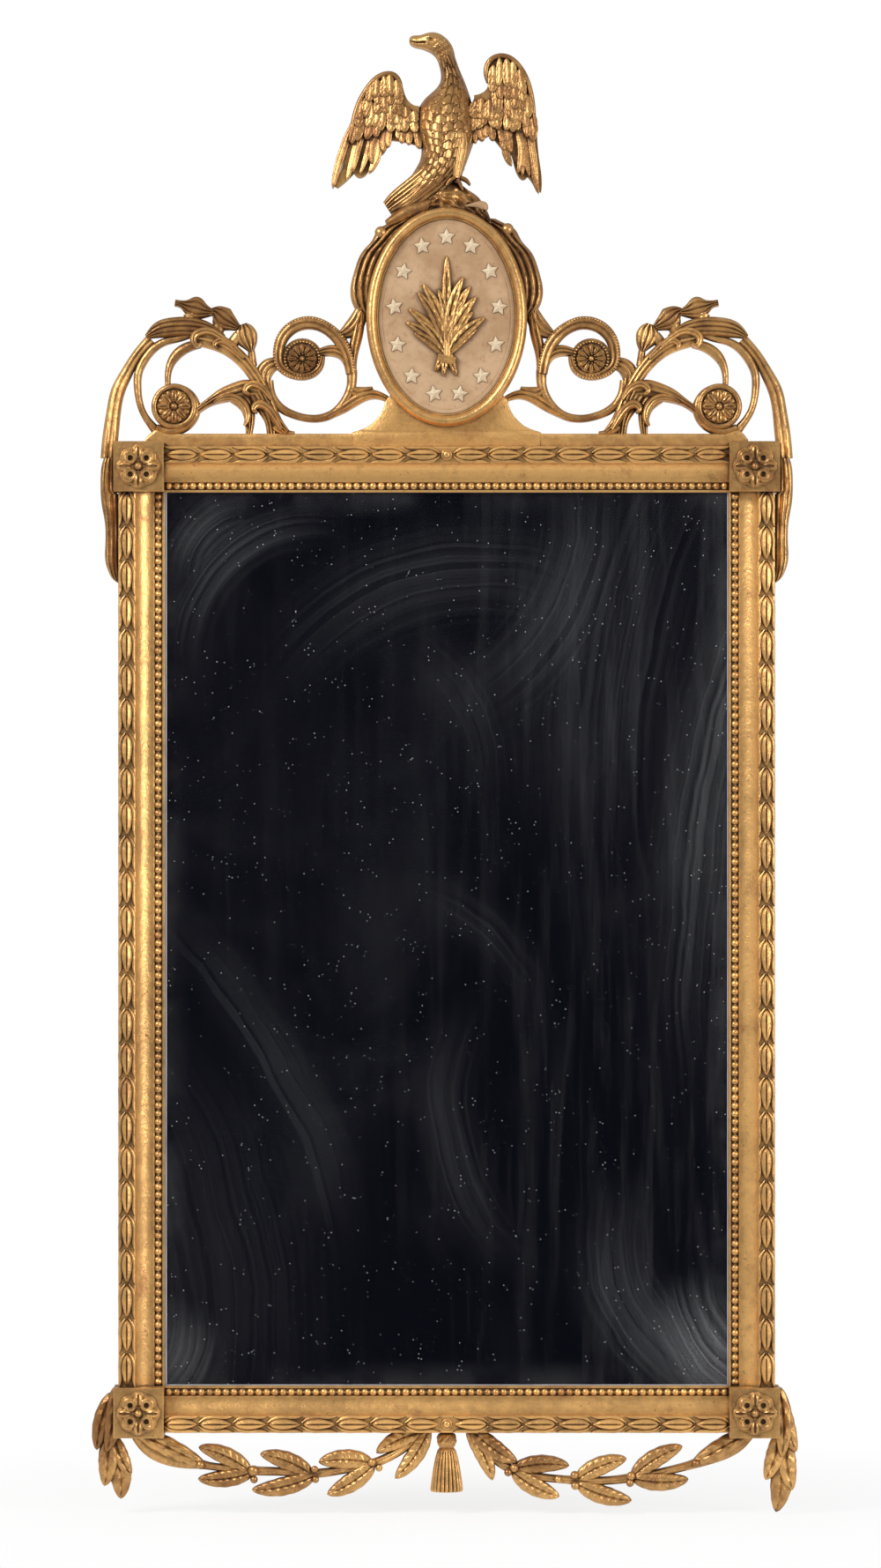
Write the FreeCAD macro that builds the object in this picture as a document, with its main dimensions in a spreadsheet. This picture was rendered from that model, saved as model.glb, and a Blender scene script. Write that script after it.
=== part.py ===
import FreeCAD, Part
import math
import os

import Sketcher
from FreeCAD import Placement, Rotation, Vector

# A gilded wall mirror with an eagle crest, in millimetres. It faces -Y and hangs on the wall plane y = 0,
# with Z up and x = 0 on its centre line. The origin lies on the wall midway between the two hangers.
# Depths count from the back of the frame towards the front, and heights from the middle of the frame.

SIZES = {
    # frame and its moulding
    "frame_width": 596,
    "frame_height": 895,
    "rabbet_width": 6.5,
    "rabbet_depth": 12,
    "lip_width": 2,
    "lip_thickness": 3.5,
    "bead_channel_width": 7.5,
    "bead_channel_sink": 2,
    "cove_width": 16,
    "cove_rise": 9,
    "cove_step": 1.5,
    "husk_seat_width": 16,
    "block_overhang": 4,
    "block_depth": 38,
    "block_chamfer": 0.8,
    # glass and what backs it
    "rabbet_clearance": 1,
    "glass_thickness": 4,
    "sheet_thickness": 2,
    "backboard_thickness": 6,
    # turned strings, husks and rosettes
    "bead_pitch": 7.4,
    "bead_radius": 3.6,
    "bead_neck_radius": 1,
    "husk_pitch": 31.3,
    "husk_radius": 4.2,
    "husk_neck_radius": 1.6,
    "husk_bar_thickness": 2,
    "centre_bead_radius": 5,
    "centre_bead_plate": 13,
    "corner_rosette_radius": 18.5,
    "corner_rosette_petal_radius": 6,
    "corner_rosette_boss_radius": 3.6,
    "corner_rosette_plate": 2,
    "corner_rosette_rise": 3,
    "scroll_rosette_radius": 16.5,
    "scroll_rosette_petal_radius": 5,
    "scroll_rosette_boss_radius": 4,
    "scroll_rosette_plate": 1.5,
    "scroll_rosette_rise": 2.5,
    # dowels, screws and hanging hardware
    "dowel_radius": 3,
    "dowel_length": 24,
    "dowel_clearance": 0.05,
    "dowel_end_gap": 0.5,
    "dowel_depth": 8,
    "dowel_inner_offset": 18,
    "dowel_outer_offset": 34,
    "crest_dowel_bite": 8,
    "board_dowel_spacing": 80,
    "scroll_dowel_inset": 45,
    "scroll_dowel_spacing": 80,
    "screw_radius": 1.6,
    "screw_length": 12,
    "screw_head_radius": 3,
    "screw_head_height": 1.6,
    "screw_clearance": 0.05,
    "strap_hole_clearance": 0.2,
    "wall_gap": 6,
    "bumper_radius": 8,
    "hanger_drop": 157.5,
    "hanger_strap_width": 12,
    "hanger_strap_length": 46,
    "hanger_strap_thickness": 1.2,
    "hanger_screw_first": 26,
    "hanger_screw_spacing": 13,
    "ring_wire_radius": 1.25,
    "ring_width": 17.5,
    "ring_length": 19,
    "ring_corner_radius": 3,
    "ring_strap_gap": 0.3,
    "ring_running_clearance": 0.1,
    "button_drop": 247.5,
    "button_inset": 8,
    "button_width": 10,
    "button_reach": 20,
    "button_thickness": 1.5,
    "button_gap": 0.1,
    "button_hole_clearance": 0.1,
    "button_screw_radius": 1.75,
    "button_screw_bite": 10,
    "button_screw_head_radius": 3.6,
    "button_screw_head_height": 2,
    "crest_strap_width": 16,
    "crest_strap_thickness": 3,
    "crest_strap_overlap": 32,
    "crest_strap_screw_inset": 12,
    # crest
    "crest_thickness": 14,
    "crest_board_half_width": 85.6,
    "scroll_height": 138,
    "oval_width": 146.4,
    "oval_height": 199.2,
    "oval_rise": 118,
    "oval_ring_width": 11,
    "oval_ring_thickness": 12,
    "oval_ring_rounding": 4,
    "oval_board_inset": 2,
    "panel_thickness": 5,
    "panel_clearance": 0.3,
    "star_ring_width": 95.7,
    "star_ring_height": 144.6,
    "star_radius": 7.4,
    "star_thickness": 2,
    "sheaf_height": 110,
    "sheaf_thickness": 5,
    "eagle_height": 163,
    "eagle_thickness": 30,
    "wing_thickness": 10,
    "wing_covert_thickness": 4,
    "perch_thickness": 25,
    "carving_clearance": 0.3,
    # ornaments beside and below the frame
    "drop_back": 6,
    "drop_thickness": 12,
    "side_drop_height": 114,
    "corner_drop_height": 112,
    "garland_fall": 62,
    "tassel_height": 55,
    "tassel_knot_height": 16,
    "tassel_knot_radius": 8.8,
    "tassel_skirt_radius": 15,
    "tassel_rope_radius": 5,
    # how far a cutting tool runs past the piece that it cuts
    "overrun": 50,
}

DERIVED = {
    "hanger_height": "=frame_height / 2 - hanger_drop",
    "button_spacing": "=frame_height - 2 * button_drop",
    "lip_front": "=rabbet_depth + lip_thickness",
    "bead_floor": "=lip_front - bead_channel_sink",
    "cove_inner": "=lip_width + bead_channel_width",
    "cove_outer": "=cove_inner + cove_width",
    "cove_top": "=lip_front + cove_rise",
    "cove_radius": "=(cove_width * cove_width + cove_rise * cove_rise) / (2 * cove_rise)",
    "seat_depth": "=cove_top + cove_step",
    "moulding_width": "=cove_outer + husk_seat_width",
    "sight_width": "=frame_width - 2 * moulding_width",
    "sight_height": "=frame_height - 2 * moulding_width",
    "block_size": "=moulding_width + block_overhang",
    "glass_width": "=sight_width + 2 * (rabbet_width - rabbet_clearance)",
    "glass_height": "=sight_height + 2 * (rabbet_width - rabbet_clearance)",
    "drill_radius": "=dowel_radius + dowel_clearance",
    "drill_length": "=dowel_length + 2 * dowel_end_gap",
    "pilot_radius": "=screw_radius + screw_clearance",
    "strap_hole_radius": "=screw_radius + strap_hole_clearance",
    "knuckle_bore": "=ring_wire_radius + ring_running_clearance",
    "knuckle_radius": "=knuckle_bore + hanger_strap_thickness",
    "button_end_radius": "=button_width / 2",
    "button_hole_radius": "=button_screw_radius + button_hole_clearance",
    "button_pilot_radius": "=button_screw_radius + screw_clearance",
}
for family in ("corner_rosette", "scroll_rosette"):
    DERIVED[family + "_ring"] = f"={family}_radius - {family}_petal_radius"
    DERIVED[family + "_petal_depth"] = f"={family}_plate + {family}_rise"
    DERIVED[family + "_boss_depth"] = f"={family}_plate + 2 * {family}_rise"

doc = FreeCAD.newDocument("federal_mirror")
sheet = doc.addObject("Spreadsheet::Sheet", "sizes")
for row, (alias, text) in enumerate({**SIZES, **DERIVED}.items(), start=1):
    sheet.set(f"A{row}", alias)
    sheet.set(f"B{row}", str(text))
    sheet.setAlias(f"B{row}", alias)
doc.recompute()


def mm(alias):
    """The value of one cell of the sheet."""
    return float(getattr(sheet, alias))


FRONT = Vector(0, -1, 0)
UP = Vector(0, 0, 1)
ACROSS = Vector(1, 0, 0)
OUTWARD = {"left": -ACROSS, "right": ACROSS, "top": UP, "bottom": -UP}
# The four corners of the frame, each with the quarter turns that bring a block's inner corner there.
CORNERS = {
    "top_right": (1, 1, 0),
    "top_left": (-1, 1, 1),
    "bottom_left": (-1, -1, 2),
    "bottom_right": (1, -1, 3),
}
FACING = Rotation(ACROSS, 90)
QUARTER_TURN = 90
HALF_TURN = 180
FULL_TURN = 360

nodes = []
drills = {}


def at(x, depth, height):
    """The place at x from the centre line, a depth from the frame's back and a height from its middle."""
    return Vector(x, -mm("wall_gap") - depth, height - mm("hanger_height"))


def sight_half(side):
    """Half of the sight opening, measured towards one side of the frame."""
    return mm("sight_width" if side in ("left", "right") else "sight_height") / 2


def member_length(side):
    """The length of the frame member on one side, which runs from block to block."""
    return mm("sight_height" if side in ("left", "right") else "sight_width")


def along(side):
    """The direction of a member's length, square to its outward and front directions."""
    return OUTWARD[side].cross(FRONT)


def on_member(side, offset, depth, start):
    """A placement on a member: X along it from start, Y outward from the sight edge, Z to the front."""
    outward = OUTWARD[side]
    place = at(0, depth, 0) + outward * (sight_half(side) + offset) + along(side) * start
    return Placement(place, Rotation(along(side), outward, FRONT, "XYZ"))


def add_node(label, obj):
    """Names a finished piece, with its holes drilled, as one node of the part."""
    if label in drills:
        obj.Label = label + "_blank"
        tools = compound(label + "_drills", drills[label])
        cut = doc.addObject("Part::Cut", label + "_drilled")
        cut.Base = obj
        cut.Tool = tools
        obj = cut
    obj.Label = label
    nodes.append(obj)
    return obj


def compound(name, parts):
    group = doc.addObject("Part::Compound", name)
    group.Links = parts
    return group


def cylinder(name, radius, height, place, axis):
    """A cylinder that stands on place along axis, with its sizes bound to the sheet."""
    obj = doc.addObject("Part::Cylinder", name)
    obj.setExpression("Radius", f"sizes.{radius}")
    obj.setExpression("Height", f"sizes.{height}")
    obj.Placement = Placement(place, Rotation(UP, axis))
    return obj


def box(name, sizes, place):
    """A box whose three sizes are bound to the sheet, with its least corner at place."""
    obj = doc.addObject("Part::Box", name)
    for side, alias in zip(("Length", "Width", "Height"), sizes):
        obj.setExpression(side, f"sizes.{alias}")
    obj.Placement = Placement(place, Rotation())
    return obj


def fuse(name, parts):
    obj = doc.addObject("Part::MultiFuse", name)
    obj.Shapes = parts
    return obj


def carved(label, shape):
    """A carved piece: its shape is drawn with y as minus its depth and z as its height."""
    obj = doc.addObject("Part::Feature", label + "_carving")
    obj.Shape = shape
    obj.Placement = Placement(at(0, 0, 0), Rotation()) * shape.Placement
    return add_node(label, obj)


def drill_into(labels, obj):
    """Notes a drill for each piece that it goes into."""
    for label in labels:
        drills.setdefault(label, []).append(obj)


# Sketches


def sketch_on(body, role, name):
    plane = next(f for f in body.Origin.OriginFeatures if f.Role == role)
    sketch = body.newObject("Sketcher::SketchObject", name)
    sketch.AttachmentSupport = [(plane, "")]
    sketch.MapMode = "FlatFace"
    return sketch


def pin_point(sketch, item, kind, alias, axis):
    """Holds a line's start at a sheet value from the sketch's origin, or on an axis if alias is None."""
    if alias is None:
        sketch.addConstraint(Sketcher.Constraint("PointOnObject", item, 1, axis))
        return
    index = sketch.addConstraint(Sketcher.Constraint(kind, -1, 1, item, 1, mm(alias)))
    sketch.setExpression(f"Constraints[{index}]", f"sizes.{alias}")


def draw_outline(sketch, corners, arc_from=None, arc_radius=None):
    """A closed outline through corners named by sheet values, with an arc after the corner arc_from."""
    points = [Vector(mm(x) if x else 0, mm(y) if y else 0, 0) for x, y in corners]
    for i, point in enumerate(points):
        following = points[(i + 1) % len(points)]
        if i == arc_from:
            centre = point + Vector(0, mm(arc_radius), 0)
            finish = math.atan2(following.y - centre.y, following.x - centre.x)
            circle = Part.Circle(centre, UP, mm(arc_radius))
            sketch.addGeometry(Part.ArcOfCircle(circle, -math.pi / 2, finish))
        else:
            sketch.addGeometry(Part.LineSegment(point, following))
    for i, (x, y) in enumerate(corners):
        before = (i - 1) % len(corners)
        sketch.addConstraint(Sketcher.Constraint("Coincident", before, 2, i, 1))
        pin_point(sketch, i, "DistanceX", x, -2)
        pin_point(sketch, i, "DistanceY", y, -1)
    if arc_radius:
        index = sketch.addConstraint(Sketcher.Constraint("Radius", arc_from, mm(arc_radius)))
        sketch.setExpression(f"Constraints[{index}]", f"sizes.{arc_radius}")


def draw_circle(sketch, radius, offset=None):
    """A circle on the sketch's X axis, at its origin or as far from it as the offset's cell says."""
    centre = Vector(mm(offset) if offset else 0, 0, 0)
    item = sketch.addGeometry(Part.Circle(centre, UP, mm(radius)))
    index = sketch.addConstraint(Sketcher.Constraint("Radius", item, mm(radius)))
    sketch.setExpression(f"Constraints[{index}]", f"sizes.{radius}")
    if offset is None:
        sketch.addConstraint(Sketcher.Constraint("Coincident", item, 3, -1, 1))
        return
    sketch.addConstraint(Sketcher.Constraint("PointOnObject", item, 3, -1))
    index = sketch.addConstraint(Sketcher.Constraint("DistanceX", -1, 1, item, 3, mm(offset)))
    sketch.setExpression(f"Constraints[{index}]", f"sizes.{offset}")


def pad(body, sketch, length, name, symmetric=False):
    feature = body.newObject("PartDesign::Pad", name)
    feature.Profile = sketch
    feature.setExpression("Length", length)
    if symmetric:
        feature.SideType = "Symmetric"
    body.Tip = feature
    return feature


# Shapes for carved work


def spline(points):
    curve = Part.BSplineCurve()
    curve.interpolate(points)
    return curve.toShape()


def stretch(points):
    """An edge through points: a straight line between two, a smooth curve through more."""
    if len(points) == 2:
        return Part.makeLine(points[0], points[1])
    return spline(points)


def prism(edges, back, front):
    """The solid of a closed outline from one depth to another."""
    face = Part.Face(Part.Wire(Part.__sortEdges__(edges)))
    solid = face.extrude(FRONT * (front - back))
    solid.translate(FRONT * back)
    return solid


class PixelMap:
    """Turns photo pixels into millimetres, from an anchor in a known place and real sizes."""

    def __init__(self, pixel, place, scale_x, scale_z):
        self.pixel = pixel
        self.place = place
        self.scale_x = scale_x
        self.scale_z = scale_z

    def at(self, x, y):
        across = (x - self.pixel[0]) * self.scale_x
        down = (y - self.pixel[1]) * self.scale_z
        return Vector(self.place[0] + across, 0, self.place[1] - down)

    def mirrored(self):
        return PixelMap(self.pixel, (-self.place[0], self.place[1]), -self.scale_x, self.scale_z)


def ribbon(place, stops, back, front):
    """A stem whose centre line runs through the stops (x, y and width in pixels), with smooth sides."""
    line = Part.BSplineCurve()
    line.interpolate([place.at(x, y) for x, y, _ in stops])
    sides = ([], [])
    for x, y, width in stops:
        point = place.at(x, y)
        normal = Vector(*line.tangent(line.parameter(point))[0]).cross(FRONT)
        for side, sign in zip(sides, (1, -1)):
            side.append(point + normal * (sign * width * place.scale_z / 2))
    left, right = sides
    ends = [Part.makeLine(left[0], right[0]), Part.makeLine(left[-1], right[-1])]
    return prism([stretch(left), stretch(right)] + ends, back, front)


def leaf(place, base, tip, width, back, front):
    """A pointed leaf: two arcs from base to tip, a width apart in the middle."""
    start = place.at(*base)
    finish = place.at(*tip)
    normal = (finish - start).normalize().cross(FRONT)
    offset = normal * (width * place.scale_z / 2)
    middle = (start + finish) * 0.5
    sides = [Part.Arc(start, middle + offset * sign, finish).toShape() for sign in (1, -1)]
    return prism(sides, back, front)


def outline(place, stretches, back, front):
    """The solid of an outline given as stretches of pixels, each a line or a smooth curve."""
    edges = [stretch([place.at(x, y) for x, y in points]) for points in stretches]
    return prism(edges, back, front)


def berry(place, x, y, radius, depth):
    ball = Part.makeSphere(radius * place.scale_z)
    ball.translate(place.at(x, y) + FRONT * depth)
    return ball


def disc(place, x, y, radius, back, front):
    return Part.makeCylinder(radius * place.scale_z, front - back, place.at(x, y) + FRONT * back, FRONT)


def oval(half_width, half_height, centre, back, front):
    """The solid of an upright oval round a height on the centre line."""
    ring = Part.Ellipse(Vector(0, 0, centre), half_height, half_width)
    edge = ring.toShape()
    edge.rotate(Vector(0, 0, centre), UP, QUARTER_TURN)
    edge.rotate(Vector(0, 0, centre), ACROSS, QUARTER_TURN)
    return prism([edge], back, front)


def joined(shapes):
    """One solid from overlapping shapes."""
    shape = shapes[0].multiFuse(shapes[1:]).removeSplitter()
    if len(shape.Solids) != 1:
        raise ValueError(f"a carving fell into {len(shape.Solids)} pieces")
    return shape.Solids[0]


def slab(x_low, x_high, z_low, z_high):
    """A cutting block as deep as the whole mirror and more."""
    depth = mm("block_depth") + 2 * mm("overrun")
    corner = Vector(x_low, -depth + mm("overrun"), z_low)
    return Part.makeBox(x_high - x_low, depth, z_high - z_low, corner)


# Frame


MOULDING_CORNERS = [
    (None, "rabbet_depth"),
    (None, "lip_front"),
    ("lip_width", "lip_front"),
    ("lip_width", "bead_floor"),
    ("cove_inner", "bead_floor"),
    ("cove_inner", "lip_front"),
    ("cove_outer", "cove_top"),
    ("cove_outer", "seat_depth"),
    ("moulding_width", "seat_depth"),
    ("moulding_width", None),
    ("rabbet_width", None),
    ("rabbet_width", "rabbet_depth"),
]
COVE_CORNER = 5


def frame_member(side, label):
    """A stile or rail: the moulding's profile, padded from block to block."""
    body = doc.addObject("PartDesign::Body", label + "_body")
    sketch = sketch_on(body, "XY_Plane", label + "_profile")
    draw_outline(sketch, MOULDING_CORNERS, COVE_CORNER, "cove_radius")
    length = "sizes.sight_height" if side in ("left", "right") else "sizes.sight_width"
    pad(body, sketch, length, label + "_pad", symmetric=True)
    outward = OUTWARD[side]
    place = at(0, 0, 0) + outward * sight_half(side)
    body.Placement = Placement(place, Rotation(outward, FRONT, along(side), "XYZ"))
    add_node(label, body)


def corner_block(corner):
    """A square block with bevelled front edges and a notch behind its inner corner for the glass."""
    across, upward, turns = CORNERS[corner]
    label = "corner_block_" + corner
    body = doc.addObject("PartDesign::Body", label + "_body")
    square = sketch_on(body, "XY_Plane", label + "_square")
    size = "block_size"
    draw_outline(square, [(None, None), (size, None), (size, size), (None, size)])
    block = pad(body, square, "sizes.block_depth", label + "_pad")
    doc.recompute()
    front_edges = [
        f"Edge{i}"
        for i, edge in enumerate(block.Shape.Edges, start=1)
        if edge.BoundBox.ZMin > mm("block_depth") - mm("block_chamfer")
    ]
    bevel = body.newObject("PartDesign::Chamfer", label + "_bevel")
    bevel.Base = (block, front_edges)
    bevel.setExpression("Size", "sizes.block_chamfer")
    body.Tip = bevel
    corner_sketch = sketch_on(body, "XY_Plane", label + "_notch_outline")
    side = "rabbet_width"
    draw_outline(corner_sketch, [(None, None), (side, None), (side, side), (None, side)])
    notch = body.newObject("PartDesign::Pocket", label + "_notch")
    notch.Profile = corner_sketch
    notch.setExpression("Length", "sizes.rabbet_depth")
    notch.Reversed = True
    body.Tip = notch
    turn = FACING * Rotation(UP, QUARTER_TURN * turns)
    body.Placement = Placement(at(across * mm("sight_width") / 2, 0, upward * mm("sight_height") / 2), turn)
    add_node(label, body)


def dowels():
    """Two dowels in each joint of a member and a block, and those that hold the crest on the rail."""
    pegs = []

    def peg(centre, axis, labels):
        name = f"dowel_{len(pegs) + 1}"
        start = centre - axis * (mm("dowel_length") / 2)
        pegs.append(cylinder(name, "dowel_radius", "dowel_length", start, axis))
        start = centre - axis * (mm("drill_length") / 2)
        drill_into(labels, cylinder(name + "_drill", "drill_radius", "drill_length", start, axis))

    for corner, (across, upward, _) in CORNERS.items():
        upright = "right" if across > 0 else "left"
        level = "top" if upward > 0 else "bottom"
        inner = at(across * mm("sight_width") / 2, mm("dowel_depth"), upward * mm("sight_height") / 2)
        for offset in (mm("dowel_inner_offset"), mm("dowel_outer_offset")):
            block = "corner_block_" + corner
            peg(inner + OUTWARD[upright] * offset, UP, (block, "stile_" + upright))
            peg(inner + OUTWARD[level] * offset, ACROSS, (block, "rail_" + level))
    height = mm("frame_height") / 2 + mm("crest_dowel_bite") - mm("dowel_length") / 2
    first = mm("crest_board_half_width") + mm("scroll_dowel_inset")
    places = {
        "crest_board": [-mm("board_dowel_spacing") / 2, mm("board_dowel_spacing") / 2],
        "crest_scroll_left": [-first, -first - mm("scroll_dowel_spacing")],
        "crest_scroll_right": [first, first + mm("scroll_dowel_spacing")],
    }
    for label, offsets in places.items():
        for x in offsets:
            peg(at(x, mm("crest_thickness") / 2, height), UP, ("rail_top", label))
    add_node("dowels", compound("dowel_set", pegs))


# Turned strings and rosettes


# Swellings of a turned string: the share of the pitch and the share of the rise from neck to crest.
HUSK_SHARES = [(0, 0), (0.5, 1), (1, 0)]
BEAD_SHARES = [(0, 0), (0.14, 0.66), (0.34, 1), (0.66, 1), (0.86, 0.66), (1, 0)]


def turned_string(length, count, radius, neck, shares):
    """A half-round string along X that swells from neck to neck, in arcs or in chamfers."""
    pitch = length / count
    edges = [Part.makeLine(Vector(), Vector(0, neck, 0))]
    for i in range(count):
        points = [Vector((i + far) * pitch, neck + (radius - neck) * rise, 0) for far, rise in shares]
        if len(points) == 3:
            edges.append(Part.Arc(*points).toShape())
        else:
            edges += [Part.makeLine(a, b) for a, b in zip(points, points[1:])]
    edges.append(Part.makeLine(Vector(length, neck, 0), Vector(length, 0, 0)))
    edges.append(Part.makeLine(Vector(length, 0, 0), Vector()))
    return Part.Face(Part.Wire(edges)).revolve(Vector(), ACROSS, HALF_TURN)


def string_node(label, shape, place):
    obj = doc.addObject("Part::Feature", label + "_string")
    obj.Shape = shape
    obj.Placement = place
    add_node(label, obj)


def bead_strip(side):
    """A string of beads in the channel beside the sight edge."""
    length = member_length(side)
    count = round(length / mm("bead_pitch"))
    shape = turned_string(length, count, mm("bead_radius"), mm("bead_neck_radius"), BEAD_SHARES)
    offset = mm("lip_width") + mm("bead_channel_width") / 2
    string_node("bead_strip_" + side, shape, on_member(side, offset, mm("bead_floor"), -length / 2))


def husk_chain(length):
    """A chain of husks on a flat bar as wide as its seat."""
    count = round(length / mm("husk_pitch"))
    chain = turned_string(length, count, mm("husk_radius"), mm("husk_neck_radius"), HUSK_SHARES)
    chain.translate(UP * mm("husk_bar_thickness"))
    return joined([husk_bar(length), chain])


def husk_bar(length):
    width = mm("husk_seat_width")
    return Part.makeBox(length, width, mm("husk_bar_thickness"), Vector(0, -width / 2, 0))


def husk_strips():
    """One chain on each stile and two on each rail, which run out from a centre bead."""
    offset = mm("cove_outer") + mm("husk_seat_width") / 2
    depth = mm("seat_depth")
    for side in ("left", "right"):
        length = member_length(side)
        string_node("husk_strip_" + side, husk_chain(length), on_member(side, offset, depth, -length / 2))
    half = (mm("sight_width") - mm("centre_bead_plate")) / 2
    beads = []
    for side in ("top", "bottom"):
        starts = {"left": -mm("sight_width") / 2, "right": mm("centre_bead_plate") / 2}
        if side == "bottom":
            starts = {"left": mm("centre_bead_plate") / 2, "right": -mm("sight_width") / 2}
        for end, start in starts.items():
            label = f"husk_strip_{side}_{end}"
            string_node(label, husk_chain(half), on_member(side, offset, depth, start))
        dome = Part.makeSphere(mm("centre_bead_radius"), Vector(), UP, 0, QUARTER_TURN, FULL_TURN)
        dome.translate(Vector(mm("centre_bead_plate") / 2, 0, mm("husk_bar_thickness")))
        bead = doc.addObject("Part::Feature", "centre_bead_" + side)
        bead.Shape = joined([husk_bar(mm("centre_bead_plate")), dome])
        bead.Placement = on_member(side, offset, depth, -mm("centre_bead_plate") / 2)
        beads.append(bead)
    add_node("husk_centre_beads", compound("centre_bead_pair", beads))


PETALS = 8


def rosette(name, family, place):
    """A plate, a ring of round petals that scallops its rim, and a centre boss."""
    body = doc.addObject("PartDesign::Body", name + "_body")
    plate = sketch_on(body, "XY_Plane", name + "_plate_outline")
    draw_circle(plate, family + "_ring")
    pad(body, plate, f"sizes.{family}_plate", name + "_plate")
    petal_outline = sketch_on(body, "XY_Plane", name + "_petal_outline")
    draw_circle(petal_outline, family + "_petal_radius", family + "_ring")
    petal = pad(body, petal_outline, f"sizes.{family}_petal_depth", name + "_petal")
    doc.recompute()
    petals = body.newObject("PartDesign::PolarPattern", name + "_petals")
    petals.Originals = [petal]
    petals.Axis = (petal_outline, ["N_Axis"])
    petals.Angle = FULL_TURN
    petals.Occurrences = PETALS
    body.Tip = petals
    boss_outline = sketch_on(body, "XY_Plane", name + "_boss_outline")
    draw_circle(boss_outline, family + "_boss_radius")
    pad(body, boss_outline, f"sizes.{family}_boss_depth", name + "_boss")
    body.Placement = Placement(place, FACING)
    return body


def corner_rosettes():
    half = mm("block_size") / 2
    for corner, (across, upward, _) in CORNERS.items():
        x = across * (mm("sight_width") / 2 + half)
        height = upward * (mm("sight_height") / 2 + half)
        label = "corner_rosette_" + corner
        add_node(label, rosette(label, "corner_rosette", at(x, mm("block_depth"), height)))


# Glass, backing and turn buttons


def glazing():
    """The mirror glass, a card behind it and the backboard, which lies flush with the back of the frame."""
    layers = [
        ("backboard", "backboard_thickness"),
        ("backing_sheet", "sheet_thickness"),
        ("mirror_glass", "glass_thickness"),
    ]
    depth = 0
    for label, thickness in layers:
        depth += mm(thickness)
        place = at(-mm("glass_width") / 2, depth, -mm("glass_height") / 2)
        add_node(label, box(label + "_box", ("glass_width", thickness, "glass_height"), place))


def turn_buttons():
    """Four flat buttons that turn on screws in the stiles and hold the backboard in."""
    screws = []
    back = -FRONT
    for side, across in (("left", -1), ("right", 1)):
        pivot_x = across * (mm("sight_width") / 2 + mm("rabbet_width") + mm("button_inset"))
        for end, upward in (("upper", 1), ("lower", -1)):
            label = f"turn_button_{side}_{end}"
            height = upward * mm("button_spacing") / 2
            pivot = at(pivot_x, -mm("button_gap"), height)
            half_width = mm("button_width") / 2
            tip = pivot - ACROSS * (across * mm("button_reach"))
            low = min(pivot.x, tip.x)
            sizes = ("button_reach", "button_thickness", "button_width")
            bar = box(label + "_bar", sizes, Vector(low, pivot.y, pivot.z - half_width))
            rounds = [
                cylinder(f"{label}_round_{i}", "button_end_radius", "button_thickness", place, back)
                for i, place in enumerate((pivot, tip), start=1)
            ]
            under = pivot + FRONT * mm("button_gap")
            hole = cylinder(label + "_hole", "button_hole_radius", "overrun", under, back)
            drill_into((label,), hole)
            add_node(label, fuse(label + "_plate", [bar] + rounds))
            seat = pivot + back * (mm("button_thickness") + mm("button_gap"))
            name = label + "_screw"
            head_sizes = ("button_screw_head_radius", "button_screw_head_height")
            head = cylinder(name + "_head", *head_sizes, seat, back)
            shank = cylinder(name + "_shank", "button_screw_radius", "button_screw_bite", seat, FRONT)
            screws.append(fuse(name, [head, shank]))
            pilot = cylinder(label + "_pilot", "button_pilot_radius", "button_screw_bite", pivot, FRONT)
            drill_into(("stile_" + side,), pilot)
    add_node("turn_button_screws", compound("turn_button_screw_set", screws))


# Hanging hardware

wood_screws = []


def wood_screw(x, height, seat_depth, plate, wood):
    """A round-headed screw through a plate into the wood, driven from the back."""
    name = f"wood_screw_{len(wood_screws) + 1}"
    seat = at(x, -seat_depth, height)
    head = cylinder(name + "_head", "screw_head_radius", "screw_head_height", seat, -FRONT)
    shank = cylinder(name + "_shank", "screw_radius", "screw_length", seat, FRONT)
    wood_screws.append(fuse(name, [head, shank]))
    pilot = cylinder(name + "_pilot", "pilot_radius", "screw_length", seat, FRONT)
    drill_into((wood,), pilot)
    behind = seat - FRONT * mm("screw_head_height")
    hole = cylinder(name + "_hole", "strap_hole_radius", "overrun", behind, FRONT)
    drill_into((plate,), hole)


def hanger_x(across):
    """The middle of the flat back of a stile."""
    return across * (mm("sight_width") / 2 + (mm("rabbet_width") + mm("moulding_width")) / 2)


def hangers():
    """On each stile a strap rolled round the straight bar of a ring that swings."""
    lift = mm("hanger_strap_thickness") + mm("ring_strap_gap") + mm("ring_wire_radius")
    for side, across in (("left", -1), ("right", 1)):
        x = hanger_x(across)
        label = "hanger_strap_" + side
        half = mm("hanger_strap_width") / 2
        knuckle = at(x - half, -lift, mm("hanger_height"))
        roll = cylinder(label + "_roll", "knuckle_radius", "hanger_strap_width", knuckle, ACROSS)
        bore = cylinder(label + "_bore", "knuckle_bore", "hanger_strap_width", knuckle, ACROSS)
        place = at(x - half, 0, mm("hanger_height") - mm("hanger_strap_length"))
        sizes = ("hanger_strap_width", "hanger_strap_thickness", "hanger_strap_length")
        plate = box(label + "_plate", sizes, place)
        drill_into((label,), bore)
        for i in range(2):
            height = mm("hanger_height") - mm("hanger_screw_first") - i * mm("hanger_screw_spacing")
            wood_screw(x, height, mm("hanger_strap_thickness"), label, "stile_" + side)
        add_node(label, fuse(label + "_strap", [plate, roll]))
        hanger_ring("hanger_ring_" + side, at(x, -lift, mm("hanger_height")))


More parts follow.
